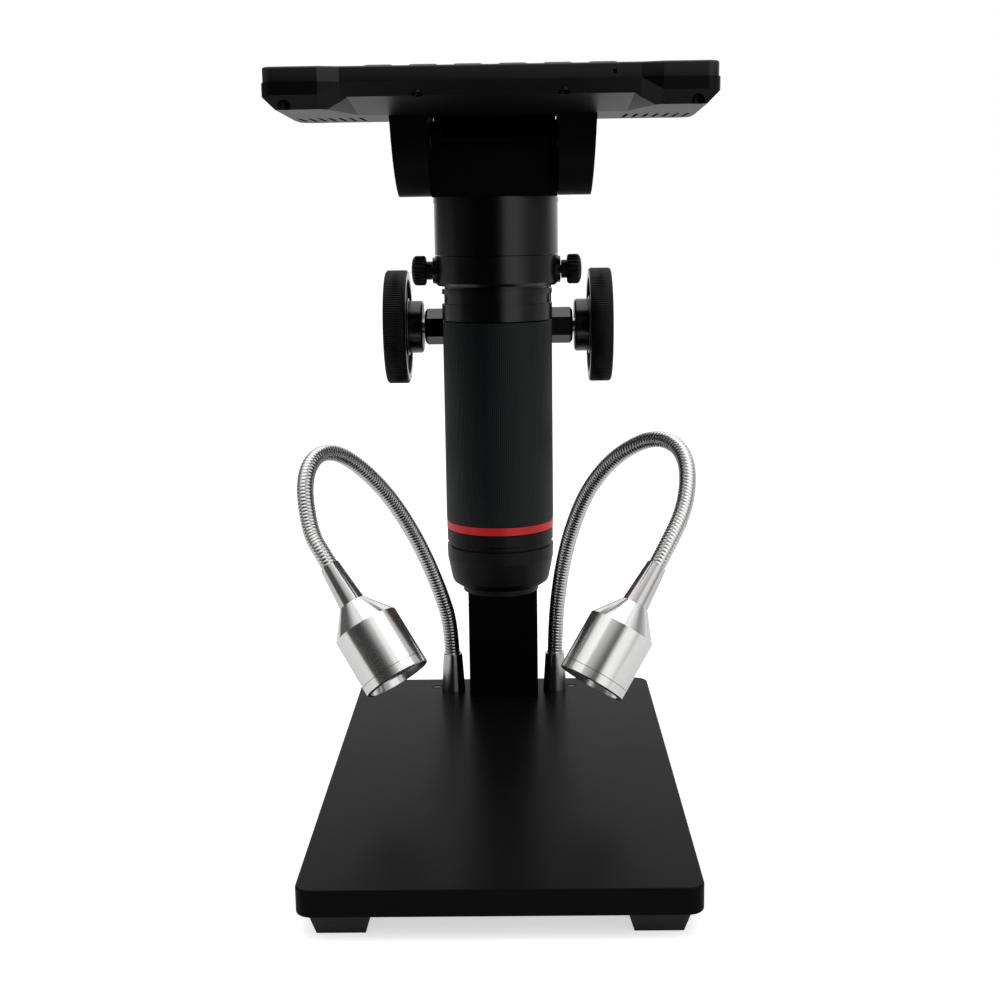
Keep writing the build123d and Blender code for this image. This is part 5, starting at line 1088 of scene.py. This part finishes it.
def light_studio(scene):
    """A white studio whose front, round the camera, is dark in reflections."""
    world = scene.world or bpy.data.worlds.new("studio")
    scene.world = world
    sky = Sky(world)
    path = sky.node("ShaderNodeLightPath").socket.node
    seen, glossy, through = (
        Wire(sky, path.outputs[f"Is {kind} Ray"]) for kind in ("Camera", "Glossy", "Transmission")
    )
    x, y, z = sky.parts(sky.node("ShaderNodeTexCoord", output="Generated"))
    turn = x.maths("ARCTAN2", x, -y) / (2 * math.pi) + 0.5
    stops = [(angle / 360 + 0.5, level) for angle, level in STUDIO_RING]
    ring = sky.ramp(turn, *stops)
    high = sky.step(z, *CEILING_RISE)
    mirror = ring + (1.0 - ring) * high * CEILING_LEVEL
    level = glossy * mirror + (1.0 - glossy) * ROOM_LEVEL
    white = 1.0 - (1.0 - seen) * (1.0 - through)
    sky.feed("Strength", level * (1.0 - white) + white)
    sky.shader.inputs["Color"].default_value = (1.0, 1.0, 1.0, 1.0)


def add_lamp(name, place, target, side, watts):
    """A soft square lamp that looks at a point."""
    data = bpy.data.lights.new(name, "AREA")
    data.size = side
    data.energy = watts
    lamp = bpy.data.objects.new(name, data)
    direction = Vector(target) - Vector(place)
    lamp.matrix_world = Matrix.Translation(place) @ direction.to_track_quat("-Z", "Y").to_matrix().to_4x4()
    bpy.context.scene.collection.objects.link(lamp)


class MICROSCOPE_OT_stage(bpy.types.Operator):
    """Pale floor, soft studio light and the camera"""

    bl_idname = "microscope.stage"
    bl_label = "Floor, light and camera"

    def execute(self, context):
        scene = context.scene
        scene.view_settings.view_transform = "Standard"
        self.add_floor(scene)
        light_studio(scene)
        for lamp in LAMPS:
            add_lamp(*lamp)
        data = bpy.data.cameras.new("camera")
        data.sensor_width = SENSOR_WIDTH
        data.lens = FOCAL_PIXELS / IMAGE_WIDTH * SENSOR_WIDTH
        data.clip_start = 0.01
        camera = bpy.data.objects.new("camera", data)
        right, up, back = camera_axes()
        turn = Matrix((right, up, back)).transposed().to_4x4()
        camera.matrix_world = Matrix.Translation(CAMERA_PLACE) @ turn
        scene.collection.objects.link(camera)
        scene.camera = camera
        return {"FINISHED"}

    @staticmethod
    def add_floor(scene):
        """A wide floor that shows white to the camera wherever the object's shadow doesn't fall."""
        mesh = bpy.data.meshes.new("floor")
        reach, front = FLOOR_REACH, FLOOR_FRONT
        corners = [(-reach, front, 0), (reach, front, 0), (reach, reach, 0), (-reach, reach, 0)]
        mesh.from_pydata(corners, [], [(0, 1, 2, 3)])
        floor = bpy.data.objects.new("floor", mesh)
        scene.collection.objects.link(floor)
        finish = Finish("floor", Roughness=0.9, Emission_Strength=1.0, Specular_IOR_Level=0.1)
        path = finish.node("ShaderNodeLightPath", output="Is Camera Ray")
        spots = finish.noise(finish.place(), 40.0, 3.0)
        finish.feed("Base Color", finish.blend_colours(spots, (0.86, 0.86, 0.86), (0.9, 0.9, 0.9)))
        finish.feed("Emission Color", finish.blend_colours(path, (0.0, 0.0, 0.0), (0.6, 0.6, 0.6)))
        mesh.materials.append(finish.material)


class MICROSCOPE_PT_panel(bpy.types.Panel):
    """Sizes, colours and steps of the stand microscope"""

    bl_idname = "MICROSCOPE_PT_panel"
    bl_label = "Stand microscope"
    bl_space_type = "VIEW_3D"
    bl_region_type = "UI"
    bl_category = "Microscope"

    def draw(self, context):
        sizes = scene_sizes(context)
        groups = {"Knurls": sizes.knurls, "Goosenecks": sizes.gooseneck, "Colours": sizes.colours}
        for title, group in groups.items():
            box = self.layout.box()
            box.label(text=title)
            for name in group.__annotations__:
                box.prop(group, name)
        for operator in OPERATORS:
            self.layout.operator(operator.bl_idname)


GROUPS = (KnurlSizes, GooseneckSizes, FinishColours, MicroscopeSizes)
OPERATORS = (
    MICROSCOPE_OT_stage,
    MICROSCOPE_OT_finishes,
    MICROSCOPE_OT_goosenecks,
    MICROSCOPE_OT_knobs,
    MICROSCOPE_OT_grip,
    MICROSCOPE_OT_thumbscrews,
    MICROSCOPE_OT_screws,
)


def register():
    """Register the groups, the operators and the panel."""
    for item in (*GROUPS, *OPERATORS, MICROSCOPE_PT_panel):
        bpy.utils.register_class(item)
    bpy.types.Scene.microscope_sizes = PointerProperty(type=MicroscopeSizes)


def unregister():
    """Take everything out again."""
    del bpy.types.Scene.microscope_sizes
    for item in reversed((*GROUPS, *OPERATORS, MICROSCOPE_PT_panel)):
        bpy.utils.unregister_class(item)


def main():
    """Build everything in order."""
    register()
    for operator in OPERATORS:
        category, name = operator.bl_idname.split(".")
        getattr(getattr(bpy.ops, category), name)()


if __name__ == "__main__":
    main()
